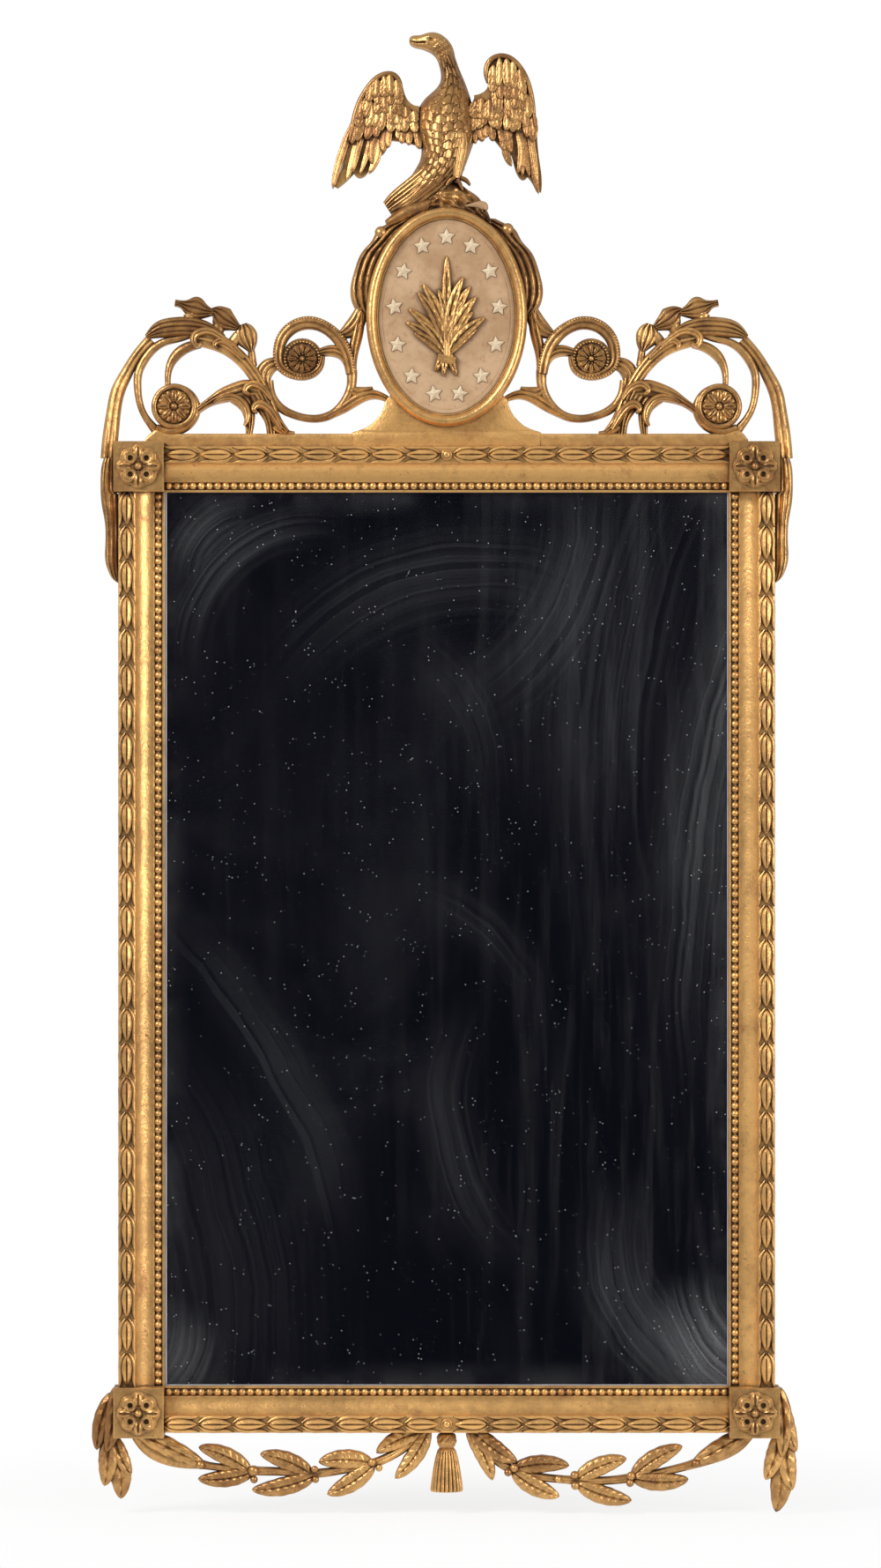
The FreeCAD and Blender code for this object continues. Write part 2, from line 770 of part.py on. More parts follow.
def hanger_ring(label, place):
    """A ring of round wire: a straight bar, two rounded corners, two legs and a half-round bottom."""
    half = mm("ring_width") / 2
    corner = mm("ring_corner_radius")
    leg = mm("ring_length") - half
    slant = corner * (1 - math.sqrt(0.5))
    edges = [Part.makeLine(Vector(corner - half, 0, 0), Vector(half - corner, 0, 0))]
    for sign in (-1, 1):
        top = Vector(sign * (half - corner), 0, 0)
        bend = Vector(sign * (half - slant), 0, -slant)
        foot = Vector(sign * half, 0, -corner)
        edges.append(Part.Arc(top, bend, foot).toShape())
        edges.append(Part.makeLine(foot, Vector(sign * half, 0, -leg)))
    bottom = Vector(0, 0, -mm("ring_length"))
    edges.append(Part.Arc(Vector(-half, 0, -leg), bottom, Vector(half, 0, -leg)).toShape())
    path = Part.Wire(Part.__sortEdges__(edges))
    start = path.OrderedVertexes[0].Point
    heading = path.OrderedEdges[0].tangentAt(path.OrderedEdges[0].FirstParameter)
    section = Part.Wire(Part.makeCircle(mm("ring_wire_radius"), start, heading))
    obj = doc.addObject("Part::Feature", label + "_wire")
    obj.Shape = path.makePipeShell([section], True, False)
    obj.Placement = Placement(place, Rotation())
    add_node(label, obj)


def wall_bumpers():
    """A round pad behind each corner block keeps the hardware off the wall."""
    half = mm("block_size") / 2
    pads = []
    for corner, (across, upward, _) in CORNERS.items():
        x = across * (mm("sight_width") / 2 + half)
        height = upward * (mm("sight_height") / 2 + half)
        pads.append(cylinder("bumper_" + corner, "bumper_radius", "wall_gap", at(x, 0, height), -FRONT))
    add_node("wall_bumpers", compound("bumper_set", pads))


# Crest

RAIL_TOP_PIXEL = 506
CREST_JOINT_PIXEL = 400
BLOCK_SIDE_PIXEL = 125.3
SCROLL_TOP_PIXEL = 333
CENTRE_PIXEL = 507

# Left scroll: stems as x, y and width in pixels, with the share of the crest's thickness that each has.
SCROLL_STEM_PIXELS = {
    "outer_bow": [
        (167, 383, 12), (150.6, 401.6, 11), (138.4, 422, 12.6), (128.6, 442.4, 14.5),
        (124.1, 463, 14.7), (121.4, 483, 16), (119, 504, 16.5), (117.8, 519, 16.5),
    ],
    "inner_stem": [
        (200, 384, 6), (181.6, 386.3, 7.8), (167.3, 396, 8.6), (158.2, 408, 8.6), (152.2, 422, 8.2),
        (151.4, 436.3, 7.8), (153.3, 452.7, 7), (157.1, 465, 7), (163.7, 476, 7.8), (172, 486, 10),
    ],
    "eye_ring": [
        (186.7, 436.7, 5), (202, 439, 7), (214.3, 447.6, 8), (219.4, 460.8, 8.6), (214.3, 476, 9),
        (202, 485, 10), (187.8, 488, 9), (173.5, 484, 8),
    ],
    "tendril": [
        (224, 388, 9), (208.2, 392.4, 10.5), (196, 401.2, 10.5), (188.8, 413, 7.8),
        (186.7, 440, 5.3),
    ],
    "top_leaf": [
        (161.6, 380.6, 4), (175.5, 372.7, 16.5), (194, 369, 20), (214.3, 369, 20),
        (232.7, 372.7, 16), (252, 379.6, 3),
    ],
    "main_stem": [
        (324.5, 489, 6), (314.3, 478.2, 10), (304.1, 458.8, 12.6), (295, 438.4, 13), (283.7, 420, 14),
        (269.4, 403.7, 14.7), (253, 391.4, 16.3), (236.7, 385, 17), (219.4, 382.2, 14),
    ],
    "eye_leaf": [
        (218, 466, 8), (234.7, 454.7, 9), (249, 447.6, 15), (265.3, 442.4, 18.8),
        (281.6, 439.4, 18.4), (294, 442.4, 12),
    ],
    "lower_lobe": [(263.3, 447.6, 16), (275.5, 456.7, 16), (280.6, 471, 12), (279.8, 494, 6)],
    "middle_lobe": [(287.8, 444.5, 16), (297, 458.8, 17), (304.1, 475, 12), (306.5, 494, 10)],
    "foot_curl": [(310, 482, 10), (321.4, 489.5, 8), (333, 491, 5)],
    "large_bow": [
        (304, 430, 8), (306.5, 446.5, 9), (316.7, 460.8, 9), (334.7, 470, 8), (355, 473.5, 8),
        (375.5, 468.6, 8.6), (390.8, 453.7, 9), (398.4, 436.3, 10), (399, 418, 11.4),
    ],
    "volute": [
        (398.4, 422, 11.4), (394, 401.6, 13), (384.7, 383.7, 13.5), (371.4, 371.4, 13),
        (354, 364.5, 13.5), (334.7, 367.3, 13.5),
        (320.4, 379.2, 12.6), (314.3, 396.5, 11.4), (316.3, 413, 10), (326.5, 424, 9.4),
        (341.8, 428.2, 7.3),
    ],
    "volute_leaf": [(360, 399, 8), (375.5, 396, 12), (388.8, 400.6, 12), (396, 414, 9)],
    "web_leaf": [(314.3, 410, 12), (303, 414.3, 17), (297, 424, 17), (301, 440.4, 10)],
    "oval_tendril": [
        (371, 471, 7.4), (389.8, 460.8, 11), (404, 451.6, 12.5), (417, 446.5, 11), (428, 446.5, 9),
        (440, 451, 6),
    ],
    "oval_stem": [(398.6, 421, 11), (400, 402, 10.5), (404, 383, 12), (411, 360, 8)],
    "spray_stem": [(284.7, 413, 9), (282.7, 394, 7)],
    "first_bud": [
        (282.7, 397, 5), (280, 387.3, 18.8), (276.5, 378.2, 24), (275, 370.6, 18), (273.5, 366, 8),
    ],
    "second_bud": [
        (268, 369.6, 7), (258.2, 364, 18.4), (250, 358.8, 25), (243, 352.7, 16), (237, 350.4, 6),
    ],
    "third_bud": [
        (239, 352.3, 6), (228.6, 350.6, 16), (218.4, 347.6, 24.5), (209.2, 345.5, 16),
        (202, 343, 8), (195, 341.6, 7),
    ],
    "first_link": [(268, 379, 12), (260, 389, 12)],
    "second_link": [(246, 366, 14), (243, 377, 12)],
    "third_link": [(211.2, 354, 12), (213.3, 366, 14)],
}
SCROLL_RELIEF_SHARES = {
    "top_leaf": 1.25,
    "main_stem": 1.2,
    "eye_leaf": 1.1,
    "volute": 1.15,
    "eye_ring": 1.05,
    "first_bud": 1.1,
    "second_bud": 1.1,
    "third_bud": 1.1,
    "large_bow": 0.95,
    "inner_stem": 0.95,
}
EYE_PIXELS = {"outer": (194, 460, 23), "inner": (341.8, 405.7, 23.5)}
SCROLL_BASE_PIXELS = [
    [(160.5, 506), (160.5, 498)],
    [(160.5, 498), (166, 491), (168, 483)],
    [(168, 483), (172, 491)],
    [(172, 491), (400, 491)],
    [(400, 491), (400, 506)],
    [(400, 506), (160.5, 506)],
]


def rail_top():
    return mm("frame_height") / 2


def block_side():
    return mm("frame_width") / 2 + mm("block_overhang")


def oval_centre():
    return rail_top() + mm("oval_rise")


def oval_cutter(back=None):
    """The medallion's oval with a clearance round it, from a depth, or from behind all, forwards."""
    gap = mm("carving_clearance")
    half_width = mm("oval_width") / 2 + gap
    half_height = mm("oval_height") / 2 + gap
    start = -mm("overrun") if back is None else back
    return oval(half_width, half_height, oval_centre(), start, 2 * mm("overrun"))


def scroll_map():
    """Pixels of the left scroll, which runs on the rail from the centre board to the block's side."""
    width = block_side() - mm("crest_board_half_width")
    scale_x = width / (CREST_JOINT_PIXEL - BLOCK_SIDE_PIXEL)
    scale_z = mm("scroll_height") / (RAIL_TOP_PIXEL - SCROLL_TOP_PIXEL)
    place = (-mm("crest_board_half_width"), rail_top())
    return PixelMap((CREST_JOINT_PIXEL, RAIL_TOP_PIXEL), place, scale_x, scale_z)


def crest_scroll(side):
    """A pierced scroll panel of stems, leaves and buds on a base that lies along the top rail."""
    place = scroll_map() if side == "left" else scroll_map().mirrored()
    sign = -1 if side == "left" else 1
    thickness = mm("crest_thickness")
    shapes = [outline(place, SCROLL_BASE_PIXELS, 0, thickness)]
    for name, stops in SCROLL_STEM_PIXELS.items():
        shapes.append(ribbon(place, stops, 0, thickness * SCROLL_RELIEF_SHARES.get(name, 1)))
    for x, y, radius in EYE_PIXELS.values():
        shapes.append(disc(place, x, y, radius, 0, thickness))
    panel = joined(shapes)
    gap = mm("carving_clearance")
    block_low = mm("sight_width") / 2
    block_high = block_side()
    block_top = rail_top() + mm("block_overhang")
    span = sorted((sign * block_low, sign * block_high))
    block = slab(span[0], span[1], 0, block_top)
    half_map = shoulder_map() if side == "left" else shoulder_map().mirrored()
    shoulder = outline(half_map, SHOULDER_PIXELS, -gap, 2 * thickness)
    shoulder.translate(UP * gap)
    cutters = [oval_cutter(), block, oval_leaf(side, gap), shoulder]
    for x, y, _ in EYE_PIXELS.values():
        seat = place.at(x, y) + FRONT * thickness
        cutters.append(Part.makeCylinder(mm("scroll_rosette_radius") + gap, mm("overrun"), seat, FRONT))
    carved("crest_scroll_" + side, cleared(panel, cutters))


def scroll_rosettes():
    """A rosette on each eye of the two scrolls."""
    for name, (x, y, _) in EYE_PIXELS.items():
        pair = []
        for side in ("left", "right"):
            place = scroll_map() if side == "left" else scroll_map().mirrored()
            centre = place.at(x, y)
            seat = at(centre.x, mm("crest_thickness"), centre.z)
            pair.append(rosette(f"{name}_rosette_{side}", "scroll_rosette", seat))
        add_node(f"scroll_rosettes_{name}", compound(f"{name}_rosette_pair", pair))


# Centre board: pixels relative to the oval and to the rail.
OVAL_CENTRE_PIXEL = (505.5, 358.5)
OVAL_TOP_PIXEL = 233.5
OVAL_SIDE_PIXEL = 414
SHOULDER_PIXELS = [
    [(470, 470), (437, 453), (434, 465), (425, 477), (412, 485.5), (400, 489)],
    [(400, 489), (400, 506)],
    [(400, 506), (470, 506)],
    [(470, 506), (470, 470)],
]
FOOT_CORNER_PIXEL = (470, 470)
OVAL_LEAF_PIXELS = [
    [
        (450, 246), (438, 252), (427, 259), (421, 270), (410, 283), (401, 304), (396, 327),
        (398, 342), (406, 353), (416, 356),
    ],
    [(416, 356), (450, 340)],
    [(450, 340), (450, 246)],
]
LEAF_RELIEF_SHARE = 1.3


def oval_map():
    """Pixels of the left half of the oval, scaled by its real width and height."""
    scale_x = mm("oval_width") / 2 / (OVAL_CENTRE_PIXEL[0] - OVAL_SIDE_PIXEL)
    scale_z = mm("oval_height") / 2 / (OVAL_CENTRE_PIXEL[1] - OVAL_TOP_PIXEL)
    return PixelMap(OVAL_CENTRE_PIXEL, (0, oval_centre()), scale_x, scale_z)


def shoulder_map():
    """Pixels of the left shoulder, from the joint with the scroll to the centre line."""
    scale_x = mm("crest_board_half_width") / (CENTRE_PIXEL - CREST_JOINT_PIXEL)
    rise = oval_centre() - rail_top()
    scale_z = rise / (RAIL_TOP_PIXEL - OVAL_CENTRE_PIXEL[1])
    return PixelMap((CENTRE_PIXEL, RAIL_TOP_PIXEL), (0, rail_top()), scale_x, scale_z)


def oval_leaf(side, gap=0):
    """The carved leaf that hugs one side of the oval."""
    place = oval_map() if side == "left" else oval_map().mirrored()
    solid = outline(place, OVAL_LEAF_PIXELS, -gap, mm("crest_thickness") * LEAF_RELIEF_SHARE + gap)
    if gap:
        grow = FreeCAD.Matrix()
        middle = solid.BoundBox.Center
        grow.move(-middle)
        grow.scale(1 + 2 * gap / solid.BoundBox.XLength, 1, 1 + 2 * gap / solid.BoundBox.ZLength)
        grow.move(middle)
        solid = solid.transformGeometry(grow)
    return solid


def crest_board():
    """The centre board: a shouldered foot on the rail, an oval ground and a leaf on each side of it."""
    thickness = mm("crest_thickness")
    inset = mm("oval_board_inset")
    ground = oval(mm("oval_width") / 2 - inset, mm("oval_height") / 2 - inset, oval_centre(), 0, thickness)
    shapes = [ground]
    place = shoulder_map()
    for half_map in (place, place.mirrored()):
        shapes.append(outline(half_map, SHOULDER_PIXELS, 0, thickness))
    foot = place.at(*FOOT_CORNER_PIXEL)
    height = foot.z - rail_top()
    shapes.append(Part.makeBox(-2 * foot.x, thickness, height, Vector(foot.x, -thickness, rail_top())))
    leaves = [oval_leaf(side) for side in ("left", "right")]
    shapes += [solid.cut(oval_cutter(thickness)) for solid in leaves]
    carved("crest_board", joined(shapes))


def oval_frame():
    """The oval moulding, with rounded front edges, round the medallion panel."""
    width = mm("oval_ring_width")
    back = mm("crest_thickness")
    front = back + mm("oval_ring_thickness")
    outer = oval(mm("oval_width") / 2, mm("oval_height") / 2, oval_centre(), back, front)
    inner = oval(mm("oval_width") / 2 - width, mm("oval_height") / 2 - width, oval_centre(), back, front)
    ring = outer.cut(inner)
    limit = mm("carving_clearance") - front
    rims = [edge for edge in ring.Edges if edge.BoundBox.YMax < limit and edge.isClosed()]
    carved("oval_frame", ring.makeFillet(mm("oval_ring_rounding"), rims))
    gap = width + mm("panel_clearance")
    panel_front = back + mm("panel_thickness")
    panel = oval(mm("oval_width") / 2 - gap, mm("oval_height") / 2 - gap, oval_centre(), back, panel_front)
    carved("medallion_panel", panel)


STARS = 13
STAR_POINTS = 5
STAR_WAIST_SHARE = 0.42


def medallion_stars():
    """Five-pointed stars, evenly spaced round an oval on the panel."""
    back = mm("crest_thickness") + mm("panel_thickness")
    stars = []
    for i in range(STARS):
        turn = math.radians(FULL_TURN * i / STARS)
        x = mm("star_ring_width") / 2 * math.sin(turn)
        height = oval_centre() + mm("star_ring_height") / 2 * math.cos(turn)
        points = []
        for corner in range(2 * STAR_POINTS):
            radius = mm("star_radius") * (STAR_WAIST_SHARE if corner % 2 else 1)
            angle = math.pi * corner / STAR_POINTS
            points.append(Vector(x + radius * math.sin(angle), 0, height + radius * math.cos(angle)))
        edges = [Part.makeLine(points[j - 1], points[j]) for j in range(len(points))]
        stars.append(prism(edges, back, back + mm("star_thickness")))
    carved("medallion_stars", Part.makeCompound(stars))


SHEAF_TOP_PIXEL = 293
SHEAF_FOOT_PIXEL = 430
SHEAF_CENTRE_PIXEL = (507, 361.5)
SHEAF_BASE_PIXEL = (507, 414)
# Sheaf leaves: x and y of the tip, and width, in pixels.
SHEAF_LEAF_PIXELS = [
    (507, 293, 11), (480, 325, 13), (474, 334, 12), (464, 353, 12), (461, 368, 11),
    (526, 317, 12), (534, 327, 12), (541, 339, 12), (550.5, 363, 12),
]
SHEAF_STEM_PIXELS = [(494, 424), (503, 429), (518, 429)]
SHEAF_STEM_WIDTH_PIXELS = 8
SHEAF_STEM_START_PIXEL = (507, 396)
SHEAF_TIE_PIXELS = [(497, 407, 10), (517, 412, 10)]


def medallion_sheaf():
    """A sheaf of long leaves, tied near the foot, on the panel."""
    scale = mm("sheaf_height") / (SHEAF_FOOT_PIXEL - SHEAF_TOP_PIXEL)
    place = PixelMap(SHEAF_CENTRE_PIXEL, (0, oval_centre()), scale, scale)
    back = mm("crest_thickness") + mm("panel_thickness")
    front = back + mm("sheaf_thickness")
    shapes = []
    for x, y, width in SHEAF_LEAF_PIXELS:
        shapes.append(leaf(place, SHEAF_BASE_PIXEL, (x, y), width, back, front))
    for tip in SHEAF_STEM_PIXELS:
        shapes.append(leaf(place, SHEAF_STEM_START_PIXEL, tip, SHEAF_STEM_WIDTH_PIXELS, back, front))
    shapes.append(ribbon(place, SHEAF_TIE_PIXELS, back, front))
    carved("medallion_sheaf", joined(shapes))


# Eagle

EAGLE_TOP_PIXEL = 34
EAGLE_FOOT_PIXEL = 238
EAGLE_ANCHOR_PIXEL = (505.5, 233.5)
# Trunk from neck to tail tip: x, y and half width in pixels, and the share of the eagle's thickness.
EAGLE_TRUNK_PIXELS = [
    (503, 55.7, 10.5), (508, 72, 10.4), (511.8, 91.4, 15), (510, 109.3, 25), (505.5, 129, 34),
    (505, 148.6, 34),
    (503.8, 168, 28), (498.4, 186, 25), (485, 204, 21.4), (470.7, 218, 17.9), (456.4, 229, 14),
    (443, 236, 8),
]
EAGLE_TRUNK_SHARES = [0.6, 0.6, 0.75, 0.9, 1, 1, 0.95, 0.85, 0.7, 0.55, 0.45, 0.35]
EAGLE_HEAD_PIXELS = [(463.6, 43.5, 5), (473, 42.5, 11), (487, 44.5, 20), (500, 50, 21), (507, 60, 18)]
EAGLE_HEAD_SHARES = (0.12, 0.72)
WING_ROOT_PIXELS = {"left": 474.3, "right": 536.8}
WING_ROOT_SPAN_PIXELS = (100, 172)
WING_PIXELS = {
    "left": [
        [(474.3, 118), (467, 116.5), (459, 107.5), (454.6, 93), (447.5, 82.5), (438.6, 80.4), (426, 85),
         (415.4, 96.8), (407.3, 109.3), (398.4, 134.3), (393, 159.3), (386.8, 186), (376.9, 208.4)],
        [(376.9, 208.4), (381.4, 211)],
        [(381.4, 211), (394, 200.4), (400, 194)],
        [(400, 194), (408.2, 199.1), (415.4, 193.2), (419, 180), (423.4, 171.8)],
        [(423.4, 171.8), (432.3, 172.7), (438.6, 162.9), (442.5, 156.6)],
        [(442.5, 156.6), (451, 157.5), (460, 159.3), (474.3, 163)],
        [(474.3, 163), (474.3, 118)],
    ],
    "right": [
        [(536.8, 105.7), (544, 104), (551, 98.6), (553, 89.6), (549.6, 79), (552, 68), (559, 61.4),
         (569, 60.2),
         (580.5, 63.8), (590.4, 73.6), (599.3, 91.4), (604.6, 120), (608.2, 148.6), (610, 171.8),
         (613.6, 198.6), (613.2, 215.5)],
        [(613.2, 215.5), (607.3, 213.8)],
        [(607.3, 213.8), (601, 202), (597.5, 197.7)],
        [(597.5, 197.7), (591.3, 201.3), (586.8, 196.8), (581.4, 180.7), (578.8, 172.7)],
        [(578.8, 172.7), (572.5, 170), (565.4, 162.9), (560, 156.6)],
        [(560, 156.6), (552, 151.3), (544, 154), (536.8, 160)],
        [(536.8, 160), (536.8, 105.7)],
    ],
}
# The small feathers over the upper wing lie as a second layer: points above this line of pixels.
COVERT_EDGE_PIXELS = {"left": [(370, 150), (480, 138)], "right": [(530, 136), (620, 152)]}
PERCH_PIXELS = [
    [
        (478, 250), (486, 228), (497, 213), (506, 207), (517, 205), (528, 212), (538.6, 219),
        (546.6, 228), (552, 238), (556, 248),
    ],
    [(556, 248), (478, 250)],
]


def eagle_map():
    """Pixels of the eagle, which stands on the top of the oval and is scaled by its real height."""
    scale = mm("eagle_height") / (EAGLE_FOOT_PIXEL - EAGLE_TOP_PIXEL)
    return PixelMap(EAGLE_ANCHOR_PIXEL, (0, oval_centre() + mm("oval_height") / 2), scale, scale)


def eagle_trunk():
    """Neck, breast and tail as a loft through flat-backed sections square to the spine."""
    place = eagle_map()
    spine = Part.BSplineCurve()
    spine.interpolate([place.at(x, y) for x, y, _ in EAGLE_TRUNK_PIXELS])
    sections = []
    for (x, y, half), share in zip(EAGLE_TRUNK_PIXELS, EAGLE_TRUNK_SHARES):
        point = place.at(x, y)
        across = Vector(*spine.tangent(spine.parameter(point))[0]).cross(FRONT) * (half * place.scale_z)
        crown = point + FRONT * (mm("eagle_thickness") * share)
        arc = Part.Arc(point - across, crown, point + across).toShape()
        sections.append(Part.Wire([arc, Part.makeLine(point + across, point - across)]))
    return Part.makeLoft(sections, True, False)


def eagle_body():
    """The trunk with its head, cut flat where the wings meet it."""
    place = eagle_map()
    low, high = (mm("eagle_thickness") * share for share in EAGLE_HEAD_SHARES)
    body = joined([eagle_trunk(), ribbon(place, EAGLE_HEAD_PIXELS, low, high)])
    top = place.at(0, WING_ROOT_SPAN_PIXELS[0]).z
    bottom = place.at(0, WING_ROOT_SPAN_PIXELS[1]).z
    left = place.at(WING_ROOT_PIXELS["left"], 0).x
    right = place.at(WING_ROOT_PIXELS["right"], 0).x
    for x_low, x_high in ((left - mm("overrun"), left), (right, right + mm("overrun"))):
        body = body.cut(slab(x_low, x_high, bottom, top))
    body = body.cut(oval_cutter())
    return max(body.Solids, key=lambda solid: solid.Volume)


def eagle_wing(side):
    """A spread wing: a plate with stepped feather ends and a raised layer of small feathers."""
    place = eagle_map()
    back = 0
    front = mm("wing_thickness")
    plate = outline(place, WING_PIXELS[side], back, front)
    raised = outline(place, WING_PIXELS[side], front, front + mm("wing_covert_thickness"))
    start, finish = (place.at(x, y) for x, y in COVERT_EDGE_PIXELS[side])
    drop = Vector(0, 0, -mm("eagle_height"))
    edges = [
        Part.makeLine(start, finish),
        Part.makeLine(finish, finish + drop),
        Part.makeLine(finish + drop, start + drop),
        Part.makeLine(start + drop, start),
    ]
    below = prism(edges, back, mm("overrun"))
    carved("eagle_wing_" + side, joined([plate, raised.cut(below)]))


def eagle():
    body = eagle_body()
    place = eagle_map()
    perch = outline(place, PERCH_PIXELS, 0, mm("perch_thickness")).cut(body).cut(oval_cutter())
    carved("eagle_perch", max(perch.Solids, key=lambda solid: solid.Volume))
    for side in ("left", "right"):
        eagle_wing(side)
    carved("eagle_body", body)


STRAP_TOP_PIXEL = 138


def crest_strap():
    """An iron strap up the back of the crest, from the top rail past the oval to the eagle's breast."""
    label = "crest_strap"
    half = mm("crest_strap_width") / 2
    bottom = rail_top() - mm("crest_strap_overlap")
    top = eagle_map().at(0, STRAP_TOP_PIXEL).z
    bar = doc.addObject("Part::Box", label + "_bar")
    bar.setExpression("Length", "sizes.crest_strap_width")
    bar.setExpression("Width", "sizes.crest_strap_thickness")
    bar.Height = top - bottom
    bar.Placement = Placement(at(-half, 0, bottom), Rotation())
    inset = mm("crest_strap_screw_inset")
    middle = oval_centre()
    places = [
        (bottom + inset, "rail_top"),
        (rail_top() + 2 * inset, "crest_board"),
        (middle, "crest_board"),
        (top - inset, "eagle_body"),
    ]
    for height, wood in places:
        wood_screw(0, height, mm("crest_strap_thickness"), label, wood)
    return label, bar


# Ornaments beside and below the frame

SIDE_DROP_PIXELS = [
    [(140, 519), (109, 519)],
    [
        (109, 519), (110.7, 539), (113, 572), (116.3, 590), (117, 618), (117.4, 637.5),
        (120.3, 647), (126, 656.6), (133.5, 661.5),
    ],
    [(133.5, 661.5), (140, 661.5)],
    [(140, 661.5), (140, 519)],
]
SIDE_DROP_TOP_PIXEL = 519
SIDE_DROP_FOOT_PIXEL = 661.5
BLOCK_CENTRE_PIXEL = 528


def block_clearance(sign):
    """The space that the corner blocks and stiles fill on one side of the frame."""
    half = block_side()
    stile = mm("frame_width") / 2
    tall = mm("frame_height")
    inner = mm("sight_height") / 2
    cuts = [slab(*sorted((0, sign * stile)), -tall, tall)]
    for upward in (-1, 1):
        edges = sorted((upward * inner, upward * (inner + mm("block_size"))))
        cuts.append(slab(*sorted((0, sign * half)), *edges))
    return cuts


def cleared(shape, cutters):
    for cutter in cutters:
        shape = shape.cut(cutter)
    return max(shape.Solids, key=lambda solid: solid.Volume)


def side_drop(side):
    """A long leaf drop beside an upper block and the stile below it."""
    sign = -1 if side == "left" else 1
    scale = mm("side_drop_height") / (SIDE_DROP_FOOT_PIXEL - SIDE_DROP_TOP_PIXEL)
    block_middle = (mm("sight_height") + mm("block_size")) / 2
    place = PixelMap((BLOCK_SIDE_PIXEL, BLOCK_CENTRE_PIXEL), (-block_side(), block_middle), scale, scale)
    if sign > 0:
        place = place.mirrored()
    back = 0
    solid = outline(place, SIDE_DROP_PIXELS, back, mm("drop_back") + mm("drop_thickness"))
    top = scroll_map().at(0, SIDE_DROP_TOP_PIXEL).z
    above = slab(*sorted((0, 2 * sign * block_side())), top, mm("frame_height"))
    carved("side_drop_" + side, cleared(solid, [above] + block_clearance(sign)))


CORNER_DROP_LEAF_PIXELS = {
    "left": [
        ((129, 1578), (119, 1652), 17), ((126, 1585), (108, 1650), 16),
        ((119, 1636), (116.6, 1691), 18),
        ((127, 1634), (147, 1679), 15), ((129, 1650), (135, 1706), 20),
    ],
    "right": [
        ((887, 1578), (891, 1658), 17), ((889, 1585), (908, 1652), 18),
        ((889, 1630), (872.8, 1684), 17),
        ((897, 1636), (903.7, 1696), 18), ((891, 1650), (885, 1721), 21),
    ],
}
CORNER_DROP_ANCHOR_PIXELS = {"left": (128.2, 1577), "right": (888, 1577)}
CORNER_DROP_FOOT_PIXEL = 1717


def corner_drop(side):
    """Five overlapping leaves that hang beside and below a lower block."""
    sign = -1 if side == "left" else 1
    anchor = CORNER_DROP_ANCHOR_PIXELS[side]
    scale = mm("corner_drop_height") / (CORNER_DROP_FOOT_PIXEL - anchor[1])
    place = PixelMap(anchor, (sign * block_side(), -mm("sight_height") / 2), scale, scale)
    back = mm("drop_back")
    front = back + mm("drop_thickness")
    shapes = []
    for base, tip, width in CORNER_DROP_LEAF_PIXELS[side]:
        shapes.append(leaf(place, base, tip, width, back, front))
    carved("corner_drop_" + side, cleared(joined(shapes), block_clearance(sign)))


GARLAND_CENTRE_PIXEL = 508.5
RAIL_FOOT_PIXEL = 1625
GARLAND_FOOT_PIXEL = 1702
LOWER_BLOCK_CENTRE_PIXEL = 861
GARLAND_STEM_PIXELS = {
    "left": [
        (150, 1622, 14), (168, 1642, 20), (190, 1653, 20), (212, 1659, 15), (228, 1663, 8),
        (256, 1667, 7), (287, 1670, 8),
        (320, 1671, 7), (356, 1673, 8), (389, 1669, 7), (423, 1662, 8), (455, 1647, 8), (488, 1620, 10),
    ],
    "right": [
        (533, 1618, 10), (561.4, 1654, 8), (584, 1669, 8), (615, 1677, 7), (646, 1680, 7),
        (660, 1681, 8), (693, 1681, 7),
        (721, 1678, 8), (749.4, 1673, 7), (775, 1667, 7), (796, 1661, 9), (820, 1650, 17),
        (842, 1638, 18), (858, 1622, 14),
    ],
}
# Garland leaves: base, tip and width in pixels.
GARLAND_LEAF_PIXELS = {
    "left": [
        ((283, 1670), (227, 1644.5), 19), ((286, 1671), (226.6, 1678), 18.6),
        ((354, 1674), (297.8, 1652), 19.7),
        ((357, 1675), (289, 1690), 19.7), ((423, 1661), (365, 1660), 21),
        ((425, 1662), (374.3, 1694), 20.6),
        ((486, 1624), (431, 1648), 19.7), ((488, 1622), (451.4, 1675), 19.2),
    ],
    "right": [
        ((532, 1622), (559.4, 1677), 19), ((536, 1621), (586.6, 1657.3), 21),
        ((584, 1668), (645.5, 1664), 19),
        ((584, 1670), (635, 1696.6), 20), ((657, 1680), (711.8, 1657.3), 20),
        ((658, 1684), (717.4, 1701.7), 20),
        ((721, 1677), (776, 1644), 20), ((722, 1678), (782.5, 1678.7), 19.5),
    ],
}
# Garland berries: x, y and radius in pixels.
GARLAND_BERRY_PIXELS = {
    "left": [
        (226, 1662.5, 5), (287, 1669.2, 6.3), (287.4, 1679, 4.4), (357, 1667.5, 4.1), (358, 1679, 4.1),
        (423, 1659.6, 4.7), (431, 1666, 4.1),
    ],
    "right": [
        (586, 1666, 5), (579, 1671, 4.5), (655.4, 1674, 4.8), (656, 1686, 4.8), (636, 1678.5, 4),
        (720, 1675, 5), (719, 1683, 4.5), (794.3, 1661, 5),
    ],
}


